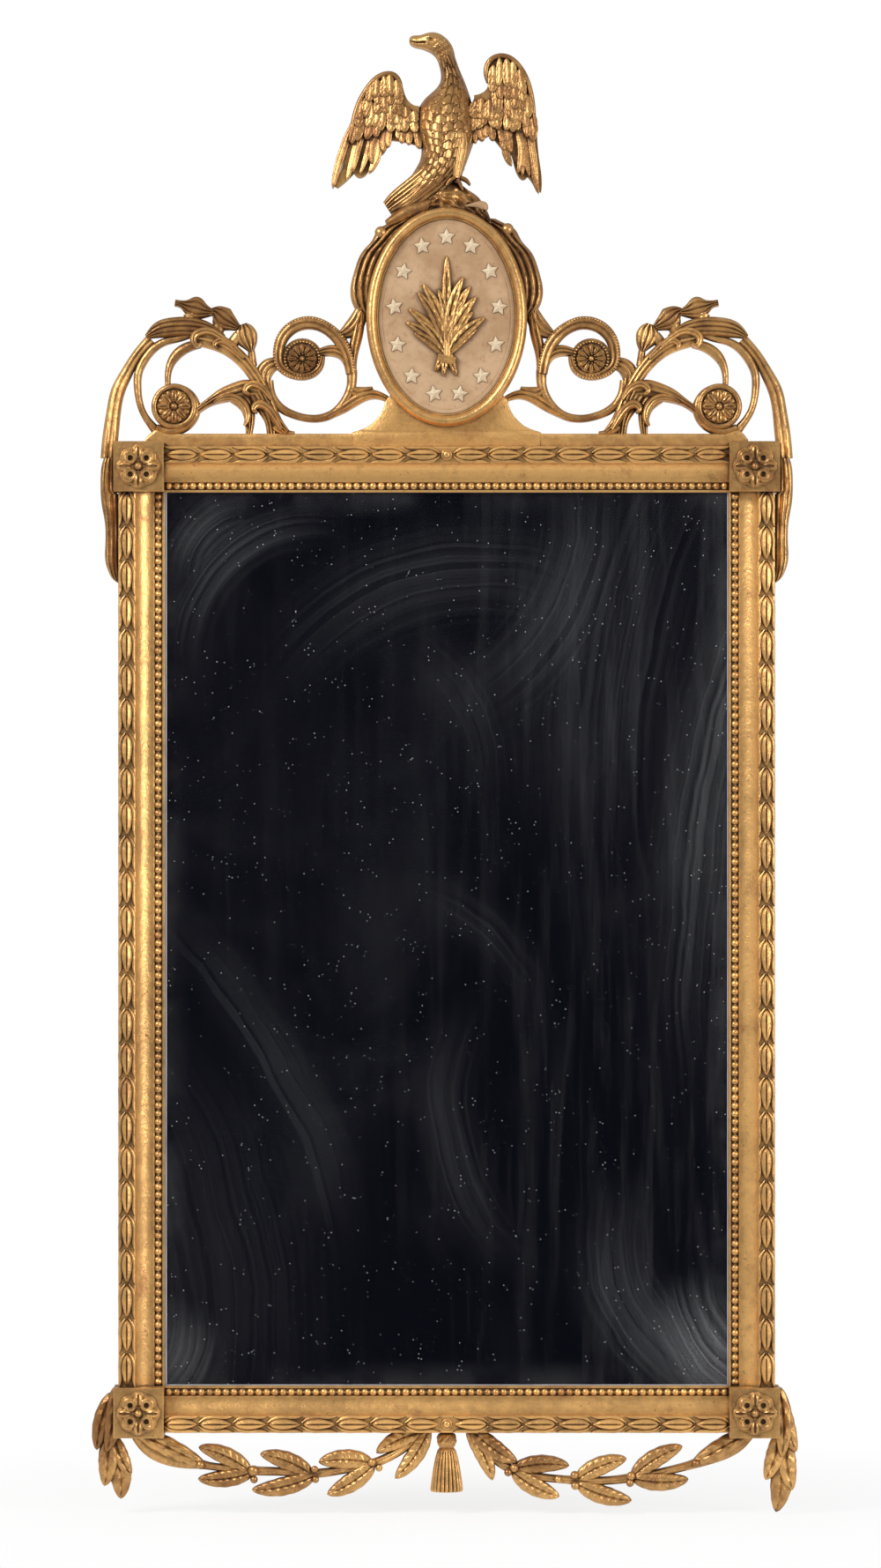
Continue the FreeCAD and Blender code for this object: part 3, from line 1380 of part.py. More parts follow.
def garland(side):
    """A swag of leaf pairs and berries on a stem, from a lower block to the middle of the bottom rail."""
    scale_z = mm("garland_fall") / (GARLAND_FOOT_PIXEL - RAIL_FOOT_PIXEL)
    block_middle = (mm("sight_width") + mm("block_size")) / 2
    scale_x = block_middle / (LOWER_BLOCK_CENTRE_PIXEL - GARLAND_CENTRE_PIXEL)
    anchor = (GARLAND_CENTRE_PIXEL, RAIL_FOOT_PIXEL)
    place = PixelMap(anchor, (0, -mm("frame_height") / 2), scale_x, scale_z)
    back = mm("drop_back")
    front = back + mm("drop_thickness")
    shapes = [ribbon(place, GARLAND_STEM_PIXELS[side], back, front)]
    shapes += [leaf(place, base, tip, width, back, front) for base, tip, width in GARLAND_LEAF_PIXELS[side]]
    shapes += [berry(place, x, y, radius, front) for x, y, radius in GARLAND_BERRY_PIXELS[side]]
    above = slab(-mm("frame_width"), mm("frame_width"), -mm("frame_height") / 2, 0)
    sign = -1 if side == "left" else 1
    solid = cleared(joined(shapes), [above] + block_clearance(sign)[1:])
    carved("garland_" + side, solid)


def tassel():
    """A flat-backed tassel: a short neck, a round knot and a flared skirt, turned half round."""
    top = -mm("frame_height") / 2
    knot_top = top - mm("tassel_rope_radius") / 2
    knot_foot = top - mm("tassel_knot_height")
    foot = top - mm("tassel_height")
    profile = [
        (0, top),
        (mm("tassel_rope_radius"), top),
        (mm("tassel_rope_radius"), knot_top),
        (mm("tassel_knot_radius"), knot_top),
        (mm("tassel_knot_radius"), knot_foot),
        (mm("tassel_skirt_radius"), foot),
        (0, foot),
    ]
    points = [Vector(x, 0, z) for x, z in profile]
    edges = [Part.makeLine(points[i - 1], points[i]) for i in range(len(points))]
    solid = Part.Face(Part.Wire(Part.__sortEdges__(edges))).revolve(Vector(), UP, -HALF_TURN)
    solid.translate(FRONT * mm("drop_back"))
    carved("tassel", solid)


def build():
    dowels()
    turn_buttons()
    hangers()
    strap = crest_strap()
    add_node(*strap)
    add_node("wood_screws", compound("wood_screw_set", wood_screws))
    for side in ("left", "right"):
        frame_member(side, "stile_" + side)
    for side in ("top", "bottom"):
        frame_member(side, "rail_" + side)
    for corner in CORNERS:
        corner_block(corner)
    for side in OUTWARD:
        bead_strip(side)
    husk_strips()
    corner_rosettes()
    glazing()
    wall_bumpers()
    crest_board()
    for side in ("left", "right"):
        crest_scroll(side)
    scroll_rosettes()
    oval_frame()
    medallion_stars()
    medallion_sheaf()
    eagle()
    for side in ("left", "right"):
        side_drop(side)
        corner_drop(side)
        garland(side)
    tassel()


def check_and_write():
    """Stops if any object failed, then writes each node to its own file."""
    doc.recompute()
    for obj in doc.Objects:
        if {"Invalid", "Error"} & set(obj.State):
            raise RuntimeError(f"{obj.Label} failed: {obj.State}")
    for node in nodes:
        if node.Shape.isNull() or not node.Shape.isValid():
            raise RuntimeError(f"{node.Label} has no valid shape")
    os.makedirs("parts", exist_ok=True)
    for node in nodes:
        node.Shape.exportStep(f"parts/{node.Label}.step")
        print(f"{node.Label}: {len(node.Shape.Solids)} solids, {node.Shape.Volume:.0f} mm3")


build()
check_and_write()
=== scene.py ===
import math

import bpy
import numpy as np
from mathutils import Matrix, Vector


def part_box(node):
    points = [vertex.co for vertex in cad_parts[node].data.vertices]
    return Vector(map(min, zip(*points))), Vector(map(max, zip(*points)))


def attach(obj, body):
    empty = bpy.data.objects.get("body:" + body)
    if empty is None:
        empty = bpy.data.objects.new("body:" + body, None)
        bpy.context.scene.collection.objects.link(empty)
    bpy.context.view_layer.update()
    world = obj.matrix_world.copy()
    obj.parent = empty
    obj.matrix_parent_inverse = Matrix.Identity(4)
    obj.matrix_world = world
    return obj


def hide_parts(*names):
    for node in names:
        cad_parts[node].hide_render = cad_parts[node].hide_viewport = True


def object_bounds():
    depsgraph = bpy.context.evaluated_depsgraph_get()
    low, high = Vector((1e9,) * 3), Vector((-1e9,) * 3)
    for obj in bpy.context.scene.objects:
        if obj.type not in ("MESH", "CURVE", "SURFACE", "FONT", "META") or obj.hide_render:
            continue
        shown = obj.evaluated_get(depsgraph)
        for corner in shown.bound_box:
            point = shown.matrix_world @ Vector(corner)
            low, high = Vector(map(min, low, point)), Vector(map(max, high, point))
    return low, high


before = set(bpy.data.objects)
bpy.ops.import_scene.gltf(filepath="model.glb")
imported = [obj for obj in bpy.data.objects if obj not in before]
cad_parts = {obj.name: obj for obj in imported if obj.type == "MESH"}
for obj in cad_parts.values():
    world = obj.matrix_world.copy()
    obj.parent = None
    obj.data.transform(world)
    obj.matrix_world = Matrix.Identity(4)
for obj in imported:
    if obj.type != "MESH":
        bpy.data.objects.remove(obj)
CAD_BOX = [list(corner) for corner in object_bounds()]

bl_info = {
    "name": "Federal Mirror",
    "version": (1, 0, 0),
    "blender": (4, 5, 0),
    "location": "View3D > Sidebar > Mirror",
    "description": "Carves and gilds a wall mirror with an eagle crest on its packed frame",
    "category": "Object",
}

# Work is done in millimetres: across from the centre line, depth from the frame's back, height from its middle.
MM = 1000
STILE_LOW, STILE_HIGH = (np.array(corner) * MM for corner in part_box("stile_right"))
WALL_GAP = -STILE_HIGH[1]
MIDDLE = (STILE_LOW[2] + STILE_HIGH[2]) / 2
SIGHT_WIDE = STILE_LOW[0]
SIGHT_HIGH = (STILE_HIGH[2] - STILE_LOW[2]) / 2
BLOCK_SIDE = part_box("corner_block_top_right")[1][0] * MM
BLOCK_FACE = -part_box("corner_block_top_right")[0][1] * MM - WALL_GAP
BLOCK_MIDDLE = ((SIGHT_WIDE + BLOCK_SIDE) / 2, SIGHT_HIGH + (BLOCK_SIDE - SIGHT_WIDE) / 2)
RAIL_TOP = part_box("rail_top")[1][2] * MM - MIDDLE
OVAL_LOW, OVAL_HIGH = (np.array(corner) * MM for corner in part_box("oval_frame"))
OVAL_WIDE = OVAL_HIGH[0]
OVAL_TALL = (OVAL_HIGH[2] - OVAL_LOW[2]) / 2
OVAL_MIDDLE = (OVAL_HIGH[2] + OVAL_LOW[2]) / 2 - MIDDLE
BODY = "mirror"
GILT_SLOT = "gilded_wood"
TONED = "toned_gilding"
SIDES = {"left": -1, "right": 1}
ROWS = {"top": 1, "bottom": -1}
FULL_TURN = 2 * math.pi


def srgb(red, green, blue):
    """A colour given in the display's 0 to 255 steps, as linear light."""
    steps = np.array((red, green, blue)) / 255
    return tuple(np.where(steps <= 0.04045, steps / 12.92, ((steps + 0.055) / 1.055) ** 2.4))


# Sizes and colours that a user would change


def length(name, text, default):
    """A size of the panel, in metres."""
    return bpy.props.FloatProperty(name=name, description=text, default=default, unit="LENGTH", precision=4)


def colour(name, text, shade):
    """A colour of the panel, in linear light."""
    return bpy.props.FloatVectorProperty(
        name=name, description=text, default=shade, size=3, min=0, max=1, subtype="COLOR"
    )


class MirrorSizes(bpy.types.PropertyGroup):
    """Sizes of the carved and turned work."""

    bead_radius: length("Bead radius", "Radius of the beads beside the glass", 0.00365)
    husk_relief: length("Husk relief", "Height of the husks above their bar", 0.0056)
    stem_rounding: length("Stem rounding", "How far a scroll's stem rounds down to its edge", 0.0048)
    leaf_relief: length("Leaf relief", "Height of a leaf's face above its edge", 0.005)
    feather_relief: length("Feather relief", "Height of the small feathers on the breast", 0.0017)
    waviness: length("Waviness", "How far the hand-worked surfaces wander", 0.00016)
    camera_distance: length("Camera distance", "From the frame's front to the camera", 5.95)
    camera_lens: bpy.props.FloatProperty(
        name="Lens", description="Focal length of the camera", default=151.1, subtype="DISTANCE_CAMERA"
    )


class MirrorColours(bpy.types.PropertyGroup):
    """Colours of the finishes."""

    gold_light: colour("Bright gold", "Burnished gold leaf", srgb(241, 188, 116))
    gold_middle: colour("Gold", "Gold leaf", srgb(207, 160, 99))
    gold_deep: colour("Deep gold", "Toned gold leaf", srgb(160, 115, 68))
    # The patina colour is also the colour that painted shade in hollows and corners darkens toward
    patina_and_shade: colour("Patina", "Brown dirt in the hollows", srgb(68, 39, 17))
    bole: colour("Bole", "Red-brown clay where the gold is rubbed", srgb(152, 98, 64))
    ivory: colour("Ivory", "Paint of the medallion", srgb(196, 162, 125))
    ivory_toned: colour("Toned ivory", "Aged paint of the medallion", srgb(172, 136, 99))
    star_ivory: colour("Star ivory", "Paint of the stars", srgb(222, 203, 170))
    silvering: colour("Silvering", "Silver behind the glass", srgb(222, 224, 228))
    haze: colour("Haze", "Wiping marks on the glass", srgb(114, 128, 150))
    pine: colour("Pine", "Bare wood at the back", srgb(176, 132, 84))
    card: colour("Card", "Card behind the glass", srgb(150, 146, 138))
    brass: colour("Brass", "Hangers and turn buttons", srgb(188, 152, 88))
    steel: colour("Steel", "Screws", srgb(168, 166, 162))
    iron: colour("Iron", "Strap behind the crest", srgb(62, 58, 55))
    rubber: colour("Rubber", "Wall bumpers", srgb(52, 50, 48))
    floor: colour("Floor", "Floor under the mirror", (0.95, 0.95, 0.95))


def sizes():
    return bpy.context.scene.federal_mirror_sizes


def mm(name):
    """A size of the panel in millimetres."""
    return getattr(sizes(), name) * MM


def colours():
    return bpy.context.scene.federal_mirror_colours


# Finishes


class Nodes:
    """A node tree built from its inputs up; sockets take a value or another node's output."""

    def __init__(self, tree):
        self.tree = tree

    def join(self, value, socket):
        """Links another node's output to a socket, or sets the socket's own value."""
        if isinstance(value, bpy.types.NodeSocket):
            self.tree.links.new(value, socket)
        elif hasattr(value, "__len__") and socket.type == "RGBA":
            socket.default_value = (*value[:3], 1)
        else:
            socket.default_value = value

    def node(self, kind, sockets, output=0, **settings):
        """Makes a node with its settings, fills its sockets and gives one of its outputs."""
        made = self.tree.nodes.new("ShaderNode" + kind)
        for key, value in settings.items():
            setattr(made, key, value)
        for key, value in sockets.items():
            self.join(value, made.inputs[key])
        return made.outputs[output]

    def math(self, operation, first, second=0.0):
        return self.node("Math", {0: first, 1: second}, operation=operation)

    def add(self, first, second):
        return self.math("ADD", first, second)

    def times(self, first, second):
        return self.math("MULTIPLY", first, second)

    def apart(self, first, second):
        """The distance between two points."""
        return self.node("VectorMath", {0: first, 1: second}, output="Value", operation="DISTANCE")


class Finish(Nodes):
    """The material of a surface, on Object coordinates."""

    def __init__(self, name):
        self.material = bpy.data.materials.new(name)
        self.material.use_nodes = True
        super().__init__(self.material.node_tree)
        self.shader = self.tree.nodes["Principled BSDF"]
        self.place = self.node("TexCoord", {}, output="Object")

    def noise(self, scale, detail, rough, place=None, distortion=0.0):
        sockets = {"Scale": scale, "Detail": detail, "Roughness": rough, "Distortion": distortion}
        return self.node("TexNoise", {"Vector": place or self.place, **sockets})

    def along(self, axis):
        return self.node("SeparateXYZ", {"Vector": self.place}, output=axis)

    def stretched(self, scale):
        """Object coordinates scaled along each axis, for grain and wiping marks."""
        return self.node("Mapping", {"Vector": self.place, "Scale": scale})

    def spread(self, value, low, high, start=0.0, finish=1.0):
        """Maps low to high of a value smoothly onto start to finish."""
        sockets = {0: value, 1: low, 2: high, 3: start, 4: finish}
        return self.node("MapRange", sockets, interpolation_type="SMOOTHSTEP")

    def mix(self, share, first, second):
        return self.node("Mix", {0: share, 6: first, 7: second}, output=2, data_type="RGBA")

    def hollow(self, distance):
        """How open a point is: 1 in the clear, less in hollows and corners."""
        return self.node("AmbientOcclusion", {"Distance": distance}, output="AO", samples=8)

    def bump(self, height, distance, strength):
        sockets = {"Height": height, "Distance": distance, "Strength": strength}
        self.join(self.node("Bump", sockets), self.shader.inputs["Normal"])

    def wood_grain(self):
        """Long grain along Z: a noise squeezed across and stretched up."""
        return self.noise(60, 6, 0.65, self.stretched((6, 6, 0.5)), 0.3)

    def shade(self, **sockets):
        """Sets the shader: names are its sockets with spaces written as underscores."""
        for key, value in sockets.items():
            self.join(value, self.shader.inputs[key.replace("_", " ")])
        return self.material


# Depth of the ungilded wood at the back
BARE_DEPTH = 1.2
# How much one step of tone moves the gold from deep to bright
TONE_STEP = 0.07
# Gildings: tone, reach in metres of the painted shade and dirt that darken the gold near corners, and wear
GILDINGS = {"gilding": (2.2, 0.0045, 0.22), TONED: (-0.7, 0.007, 0.55)}


def gilding(name):
    """Gold leaf: broad and fine tone, rubbed bole, dark specks, and patina with painted shade that darkens the
    hollows and corners.
    """
    shade, reach, wear = GILDINGS[name]
    c = colours()
    f = Finish(name)
    tone = f.node("Attribute", {}, output="Fac", attribute_name="tone")
    broad = f.noise(11, 4, 0.6)
    fine = f.noise(95, 4, 0.62)
    level = f.add(f.times(broad, 0.62), f.times(fine, 0.38))
    level = f.add(level, f.times(f.add(tone, shade), TONE_STEP))
    gold = f.mix(f.spread(level, 0.3, 0.52), c.gold_deep, c.gold_middle)
    gold = f.mix(f.spread(level, 0.47, 0.72), gold, c.gold_light)
    rubbed = f.spread(f.noise(34, 6, 0.7), 0.54, 0.7, 0, 0.55)
    gold = f.mix(rubbed, gold, c.bole)
    # Painted shade: ambient occlusion darkens the gold toward the patina colour in hollows and corners, partly real
    # patina and partly shade
    uneven = f.add(f.hollow(reach), f.times(f.math("SUBTRACT", fine, 0.5), 0.7))
    dirt_and_shade = f.spread(uneven, 0.3, 0.97, 0.95, 0)
    specks = f.spread(f.noise(330, 3, 0.6), 0.62, 0.72, 0, 0.6)
    blotches = f.spread(f.noise(75, 7, 0.72, distortion=0.5), 0.53, 0.7, 0, wear)
    dirt_and_shade = f.math("MAXIMUM", f.math("MAXIMUM", dirt_and_shade, specks), blotches)
    gold = f.mix(dirt_and_shade, gold, c.patina_and_shade)
    bare = f.spread(f.along("Y"), -(WALL_GAP + BARE_DEPTH) / MM, -WALL_GAP / MM)
    wood = f.mix(f.spread(f.wood_grain(), 0.35, 0.75, 0, 0.4), c.pine, c.patina_and_shade)
    gold = f.mix(bare, gold, wood)
    f.bump(f.add(f.noise(300, 4, 0.65), fine), 0.0006, 0.6)
    rough = f.spread(f.add(dirt_and_shade, f.times(rubbed, 0.6)), 0, 1, 0.33, 0.68)
    metal = f.times(f.spread(dirt_and_shade, 0, 1, 0.72, 0.2), f.math("SUBTRACT", 1.0, bare))
    return f.shade(Base_Color=gold, Roughness=rough, Metallic=metal)


def ivory_paint():
    """Aged paint: clouded ivory with fine brown specks, and dirt with painted shade beside the raised work."""
    c = colours()
    f = Finish("aged_ivory")
    paint = f.mix(f.spread(f.noise(26, 6, 0.65), 0.36, 0.64), c.ivory_toned, c.ivory)
    paint = f.mix(f.spread(f.noise(150, 6, 0.75), 0.52, 0.7, 0, 0.5), paint, c.bole)
    # Painted shade with dirt: ambient occlusion darkens the paint toward the patina colour beside the raised work
    paint = f.mix(f.spread(f.hollow(0.005), 0.4, 1, 0.85, 0), paint, c.patina_and_shade)
    f.bump(f.noise(420, 4, 0.6), 0.00015, 0.5)
    return f.shade(Base_Color=paint, Roughness=0.62)


def star_paint():
    """Pale paint of the stars, with painted shade darkening the creases."""
    c = colours()
    f = Finish("pale_stars")
    # Painted shade, with some dirt: ambient occlusion darkens the creases toward the toned ivory
    dirt_and_shade = f.spread(f.hollow(0.003), 0.4, 1, 0.7, 0)
    cloud = f.spread(f.noise(120, 4, 0.6), 0.4, 0.65, 0, 0.4)
    paint = f.mix(dirt_and_shade, f.mix(cloud, c.star_ivory, c.ivory), c.ivory_toned)
    f.bump(f.noise(500, 3, 0.6), 0.00012, 0.5)
    return f.shade(Base_Color=paint, Roughness=0.6)


GLASS_PIXEL = (507, 1062.5)
GLASS_SCALE = (0.8016, 0.811)
# Wiping marks: centre, radius and width of an arc in pixels, then where it shows, how far round, and its share.
WIPES = [
    ((370, 720), 140, 34, (262, 640), 150, 0.9), ((560, 900), 270, 80, (470, 650), 230, 0.5),
    ((380, 860), 190, 44, (560, 800), 160, 0.3), ((-200, 1480), 620, 46, (310, 1200), 280, 0.5),
    ((760, 1230), 240, 46, (525, 1290), 190, 0.5), ((430, 1190), 210, 40, (565, 1040), 130, 0.3),
    ((900, 1380), 190, 70, (740, 1480), 180, 0.9), ((2000, 1100), 1200, 70, (805, 800), 520, 1.05),
    ((420, 560), 260, 70, (660, 690), 200, 0.7), ((-200, 1480), 470, 170, (262, 1390), 330, 0.27),
    ((930, 1420), 150, 90, (806, 1520), 100, 2.8), ((150, 1480), 90, 60, (204, 1532), 70, 1.5),
    ((300, 640), 80, 44, (226, 604), 70, 1.1), ((1500, 860), 800, 150, (700, 740), 300, 0.4),
]
WIPE_STRENGTH = 0.078
WIPE_BEND = (0.03, 0.03, 0.03)
HAZY_EDGE = 26


def on_glass(pixel):
    """A photo pixel on the glass as a point of the frame."""
    x = (pixel[0] - GLASS_PIXEL[0]) * GLASS_SCALE[0]
    height = (GLASS_PIXEL[1] - pixel[1]) * GLASS_SCALE[1]
    return x / MM, 0, (height + MIDDLE) / MM


def silvered_glass():
    """Old mirror glass: silvering under clouds of haze, arcs of wiping marks, upright streaks and white specks.

    An arc's mark fades with the distance from its circle and from the place where it shows, and a noise of the
    distance from its centre draws its lines.
    """
    c = colours()
    f = Finish("old_mirror")
    pixel = GLASS_SCALE[0] / MM
    flat = f.stretched((1, 0, 1))
    bent = f.node("VectorMath", {0: f.noise(5, 3, 0.6, flat), 1: WIPE_BEND}, operation="MULTIPLY")
    bent = f.node("VectorMath", {0: flat, 1: bent}, operation="ADD")
    haze = f.spread(f.noise(3.4, 5, 0.62, distortion=0.6), 0.45, 0.8, 0.002, 0.016)
    for centre, radius, width, middle, reach, share in WIPES:
        away = f.apart(bent, on_glass(centre))
        off = f.math("ABSOLUTE", f.math("SUBTRACT", away, radius * pixel))
        band = f.spread(off, 0, width * pixel, 1, 0)
        near = f.spread(f.apart(flat, on_glass(middle)), 0, reach * pixel, 1, 0)
        gate = f.times(near, share * WIPE_STRENGTH)
        lines = {"W": away, "Scale": 150, "Detail": 6, "Roughness": 0.75}
        lines = f.spread(f.node("TexNoise", lines, noise_dimensions="1D"), 0.28, 0.78, 0.12, 1)
        haze = f.add(haze, f.times(f.times(band, gate), lines))
    across = f.along("X")
    height = f.math("SUBTRACT", f.along("Z"), MIDDLE / MM)
    for value, half in ((across, SIGHT_WIDE), (height, SIGHT_HIGH)):
        rim = f.spread(f.math("ABSOLUTE", value), (half - HAZY_EDGE) / MM, half / MM)
        haze = f.add(haze, f.times(rim, f.spread(f.noise(13, 4, 0.6), 0.36, 0.7, 0, 0.03)))
    streak = f.spread(f.noise(30, 5, 0.7, f.stretched((1.6, 0, 0.12)), 0.4), 0.46, 0.72, 0, 0.022)
    haze = f.add(haze, f.times(streak, f.spread(across, -0.1, 0.24, 0.2, 1)))
    speck = f.node("TexVoronoi", {"Vector": f.place, "Scale": 250}, output="Distance")
    rare = f.spread(f.noise(62, 3, 0.6), 0.49, 0.63)
    dust = f.times(f.spread(speck, 0.055, 0.145, 1, 0), rare)
    haze = f.add(haze, f.times(dust, 0.6))
    veil = f.mix(f.spread(dust, 0.2, 0.8), c.haze, c.silvering)
    silver = f.mix(haze, c.silvering, veil)
    rough = f.spread(haze, 0, 0.5, 0.02, 0.5)
    return f.shade(Base_Color=silver, Metallic=f.math("SUBTRACT", 1.0, haze), Roughness=rough)


def bare_pine():
    """Bare wood: long grain along Z with darker growth lines."""
    c = colours()
    f = Finish("sawn_pine")
    grain = f.wood_grain()
    wave = {"Vector": f.stretched((1, 1, 0.08)), "Scale": 5, "Distortion": 14, "Detail": 4}
    line = f.node("TexWave", wave, output="Fac", wave_type="BANDS", bands_direction="X")
    level = f.add(f.times(grain, 0.85), f.times(line, 0.15))
    wood = f.mix(f.spread(level, 0.35, 0.7, 0, 0.42), c.pine, c.patina_and_shade)
    f.bump(grain, 0.0003, 0.6)
    return f.shade(Base_Color=wood, Roughness=f.spread(grain, 0.3, 0.7, 0.6, 0.8))


# Plain finishes: material's name, colour, darker colour, metallic, roughness and scale of the clouding
SPECKLED = {
    # Painted highlight: the pale finish of the strips at the glass's edge
    "glass_edge_highlight": ("glass_edge_highlight", "silvering", "haze", 0, 0.35, 30),
    "grey_card": ("old_card", "card", "pine", 0, 0.8, 40),
    "hardware_brass": ("worn_brass", "brass", "patina_and_shade", 0.95, 0.3, 60),
    "screw_steel": ("worn_steel", "steel", "iron", 0.95, 0.35, 120),
    "strap_iron": ("dark_iron", "iron", "bole", 0.6, 0.5, 50),
    "bumper_rubber": ("dark_rubber", "rubber", "iron", 0, 0.7, 80),
}


def speckled(surface):
    """A plain finish with clouding, dirt and painted shade in the corners, and a fine grain in its gloss."""
    name, shade, dark, metallic, roughness, scale = SPECKLED[surface]
    f = Finish(name)
    cloud = f.spread(f.noise(scale, 5, 0.65), 0.35, 0.7, 0, 0.6)
    # Painted shade with dirt: ambient occlusion darkens the corners toward the darker colour
    dirt_and_shade = f.spread(f.hollow(0.004), 0.4, 1, 0.7, 0)
    base = f.mix(f.math("MAXIMUM", cloud, dirt_and_shade), getattr(colours(), shade), getattr(colours(), dark))
    grain = f.noise(scale * 9, 3, 0.6)
    f.bump(grain, 0.0001, 0.5)
    rough = f.spread(grain, 0.3, 0.7, roughness, roughness + 0.2)
    return f.shade(Base_Color=base, Roughness=rough, Metallic=metallic)


PAINTS = {
    "ivory_paint": ivory_paint, "star_paint": star_paint, "silvered_glass": silvered_glass, "bare_pine": bare_pine,
}
FINISHES = {}


def finish(surface):
    """The finish of a surface, made once."""
    if surface not in FINISHES:
        if surface in PAINTS:
            FINISHES[surface] = PAINTS[surface]()
        else:
            FINISHES[surface] = gilding(surface) if surface in GILDINGS else speckled(surface)
    return FINISHES[surface]


# Surfaces


def placed(points):
    """Across, depth and height in millimetres as the frame's metres; depth runs to the front, along -Y."""
    across, depth, height = np.moveaxis(np.asarray(points, float), -1, 0)
    return np.stack((across, -WALL_GAP - depth, height + MIDDLE), -1) / MM


def signed_volume(points, faces):
    """Six times the volume inside each copy's faces: each face is a fan of triangles from its first corner."""
    first, *others = np.moveaxis(points[faces], 2, 0)
    return sum((first * np.cross(b, c)).sum((1, 2)) for b, c in zip(others, others[1:]))


# Surfaces nearer to the back than this stay flatter, and their backs step in so that no two share a plane
FLAT_DEPTH = 3
BACK_STEP = 0.03
BACK_STEPS = 17
TONE_SPREAD = 0.7


class Carving:
    """Skins on grids, gathered into the mesh of one piece, with a tone for each skin."""

    def __init__(self, seed, tone=0.0):
        self.seed = seed
        self.tone = tone
        self.random = np.random.default_rng(seed)
        self.points, self.tones, self.quads, self.fans = [], [], [], []
        self.total = 0

    def worked(self, grid):
        """The grid with its face wandering in depth as two crossed waves do, and its back stepped in."""
        across, depth, height = grid[..., :1], grid[..., 1:2], grid[..., 2:]
        wander = np.sin(across * 0.31 + height * 0.23) * np.cos(height * 0.37)
        carved = np.clip(depth / FLAT_DEPTH, 0, 1)
        inset = BACK_STEP * ((3 * self.seed + 5 * len(self.points)) % BACK_STEPS)
        return grid + (wander * mm("waviness") * carved + inset * (1 - carved)) * (0, 1, 0)

    def add(self, grid, tone=None, loop=False):
        """Adds one closed skin, or a stack of like ones, from grids of rows by ring points.

        Each ring closes on itself. The end rows close with a fan to their middle, or, for a loop, on each
        other. A skin whose signed volume is negative has its faces turned round.
        """
        grid = np.asarray(grid, float)
        if grid.ndim == 3:
            grid = grid[None]
        copies, rows, ring, _ = grid.shape
        skin = placed(self.worked(grid))
        points = skin.reshape(-1, 3)
        if tone is None:
            tone = self.random.normal(self.tone, TONE_SPREAD, copies)[:, None]
        tone = np.broadcast_to(tone, (copies, rows))
        tones = np.repeat(tone, ring)
        index = np.arange(copies * rows * ring).reshape(copies, rows, ring)
        after = np.roll(index, -1, axis=2)
        if loop:
            corners = (index, after, np.roll(after, -1, axis=1), np.roll(index, -1, axis=1))
            fans = np.zeros((copies, 0, 3), int)
        else:
            corners = (index[:, :-1], after[:, :-1], after[:, 1:], index[:, 1:])
            ends = len(points) + np.arange(copies * 2).reshape(copies, 2, 1) + np.zeros((1, 1, ring), int)
            first = np.stack((after[:, 0], index[:, 0], ends[:, 0]), -1)
            last = np.stack((index[:, -1], after[:, -1], ends[:, 1]), -1)
            fans = np.concatenate((first, last), 1)
            points = np.concatenate((points, skin[:, [0, -1]].mean(2).reshape(-1, 3)))
            tones = np.concatenate((tones, tone[:, [0, -1]].ravel()))
        quads = np.stack(corners, -1).reshape(copies, -1, 4)
        inside_out = signed_volume(points, quads) + signed_volume(points, fans) < 0
        for faces, kept in ((quads, self.quads), (fans, self.fans)):
            faces[inside_out] = faces[inside_out][..., ::-1]
            kept.append(faces.reshape(-1, faces.shape[-1]) + self.total)
        self.points.append(points)
        self.tones.append(tones)
        self.total += len(points)

    def build(self, name, *replaced, surface="gilding", slot=GILT_SLOT, crease=38):
        """Makes the object, rides it on the mirror and hides the nodes that it replaces."""
        points, quads, fans = (np.concatenate(parts) for parts in (self.points, self.quads, self.fans))
        corners = np.concatenate((quads.ravel(), fans.ravel()))
        starts = np.concatenate((np.arange(len(quads)) * 4, quads.size + np.arange(len(fans)) * 3))
        mesh = bpy.data.meshes.new(name)
        mesh.vertices.add(len(points))
        mesh.vertices.foreach_set("co", points.astype(np.float32).ravel())
        mesh.loops.add(len(corners))
        mesh.loops.foreach_set("vertex_index", corners.astype(np.int32))
        mesh.polygons.add(len(starts))
        mesh.polygons.foreach_set("loop_start", starts.astype(np.int32))
        mesh.polygons.foreach_set("use_smooth", np.ones(len(starts), bool))
        mesh.update(calc_edges=True)
        mesh.validate()
        mesh.set_sharp_from_angle(angle=math.radians(crease))
        tone = mesh.attributes.new("tone", "FLOAT", "POINT")
        tone.data.foreach_set("value", np.concatenate(self.tones).astype(np.float32))
        mesh.materials.append(finish(surface))
        piece = bpy.data.objects.new(name, mesh)
        bpy.context.scene.collection.objects.link(piece)
        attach(piece, BODY)
        if replaced:
            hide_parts(*replaced)


class Plan:
    """Photo pixels as millimetres across and up, from an anchor pixel with a known place and two scales."""

    def __init__(self, pixel, place, scale, scale_up=None):
        self.pixel = np.array(pixel, float)
        self.place = np.array(place, float)
        self.scale = np.array((scale, -(scale_up or scale)))

    def __call__(self, pixels):
        return self.place + (np.asarray(pixels, float) - self.pixel) * self.scale

    def size(self, pixels):
        """Lengths in pixels as millimetres."""
        return np.asarray(pixels, float) * -self.scale[1]

    def on(self, side):
        """The plan itself on the left, and its mirror image on the right."""
        return self if side == "left" else Plan(self.pixel, self.place * (-1, 1), -self.scale[0], -self.scale[1])


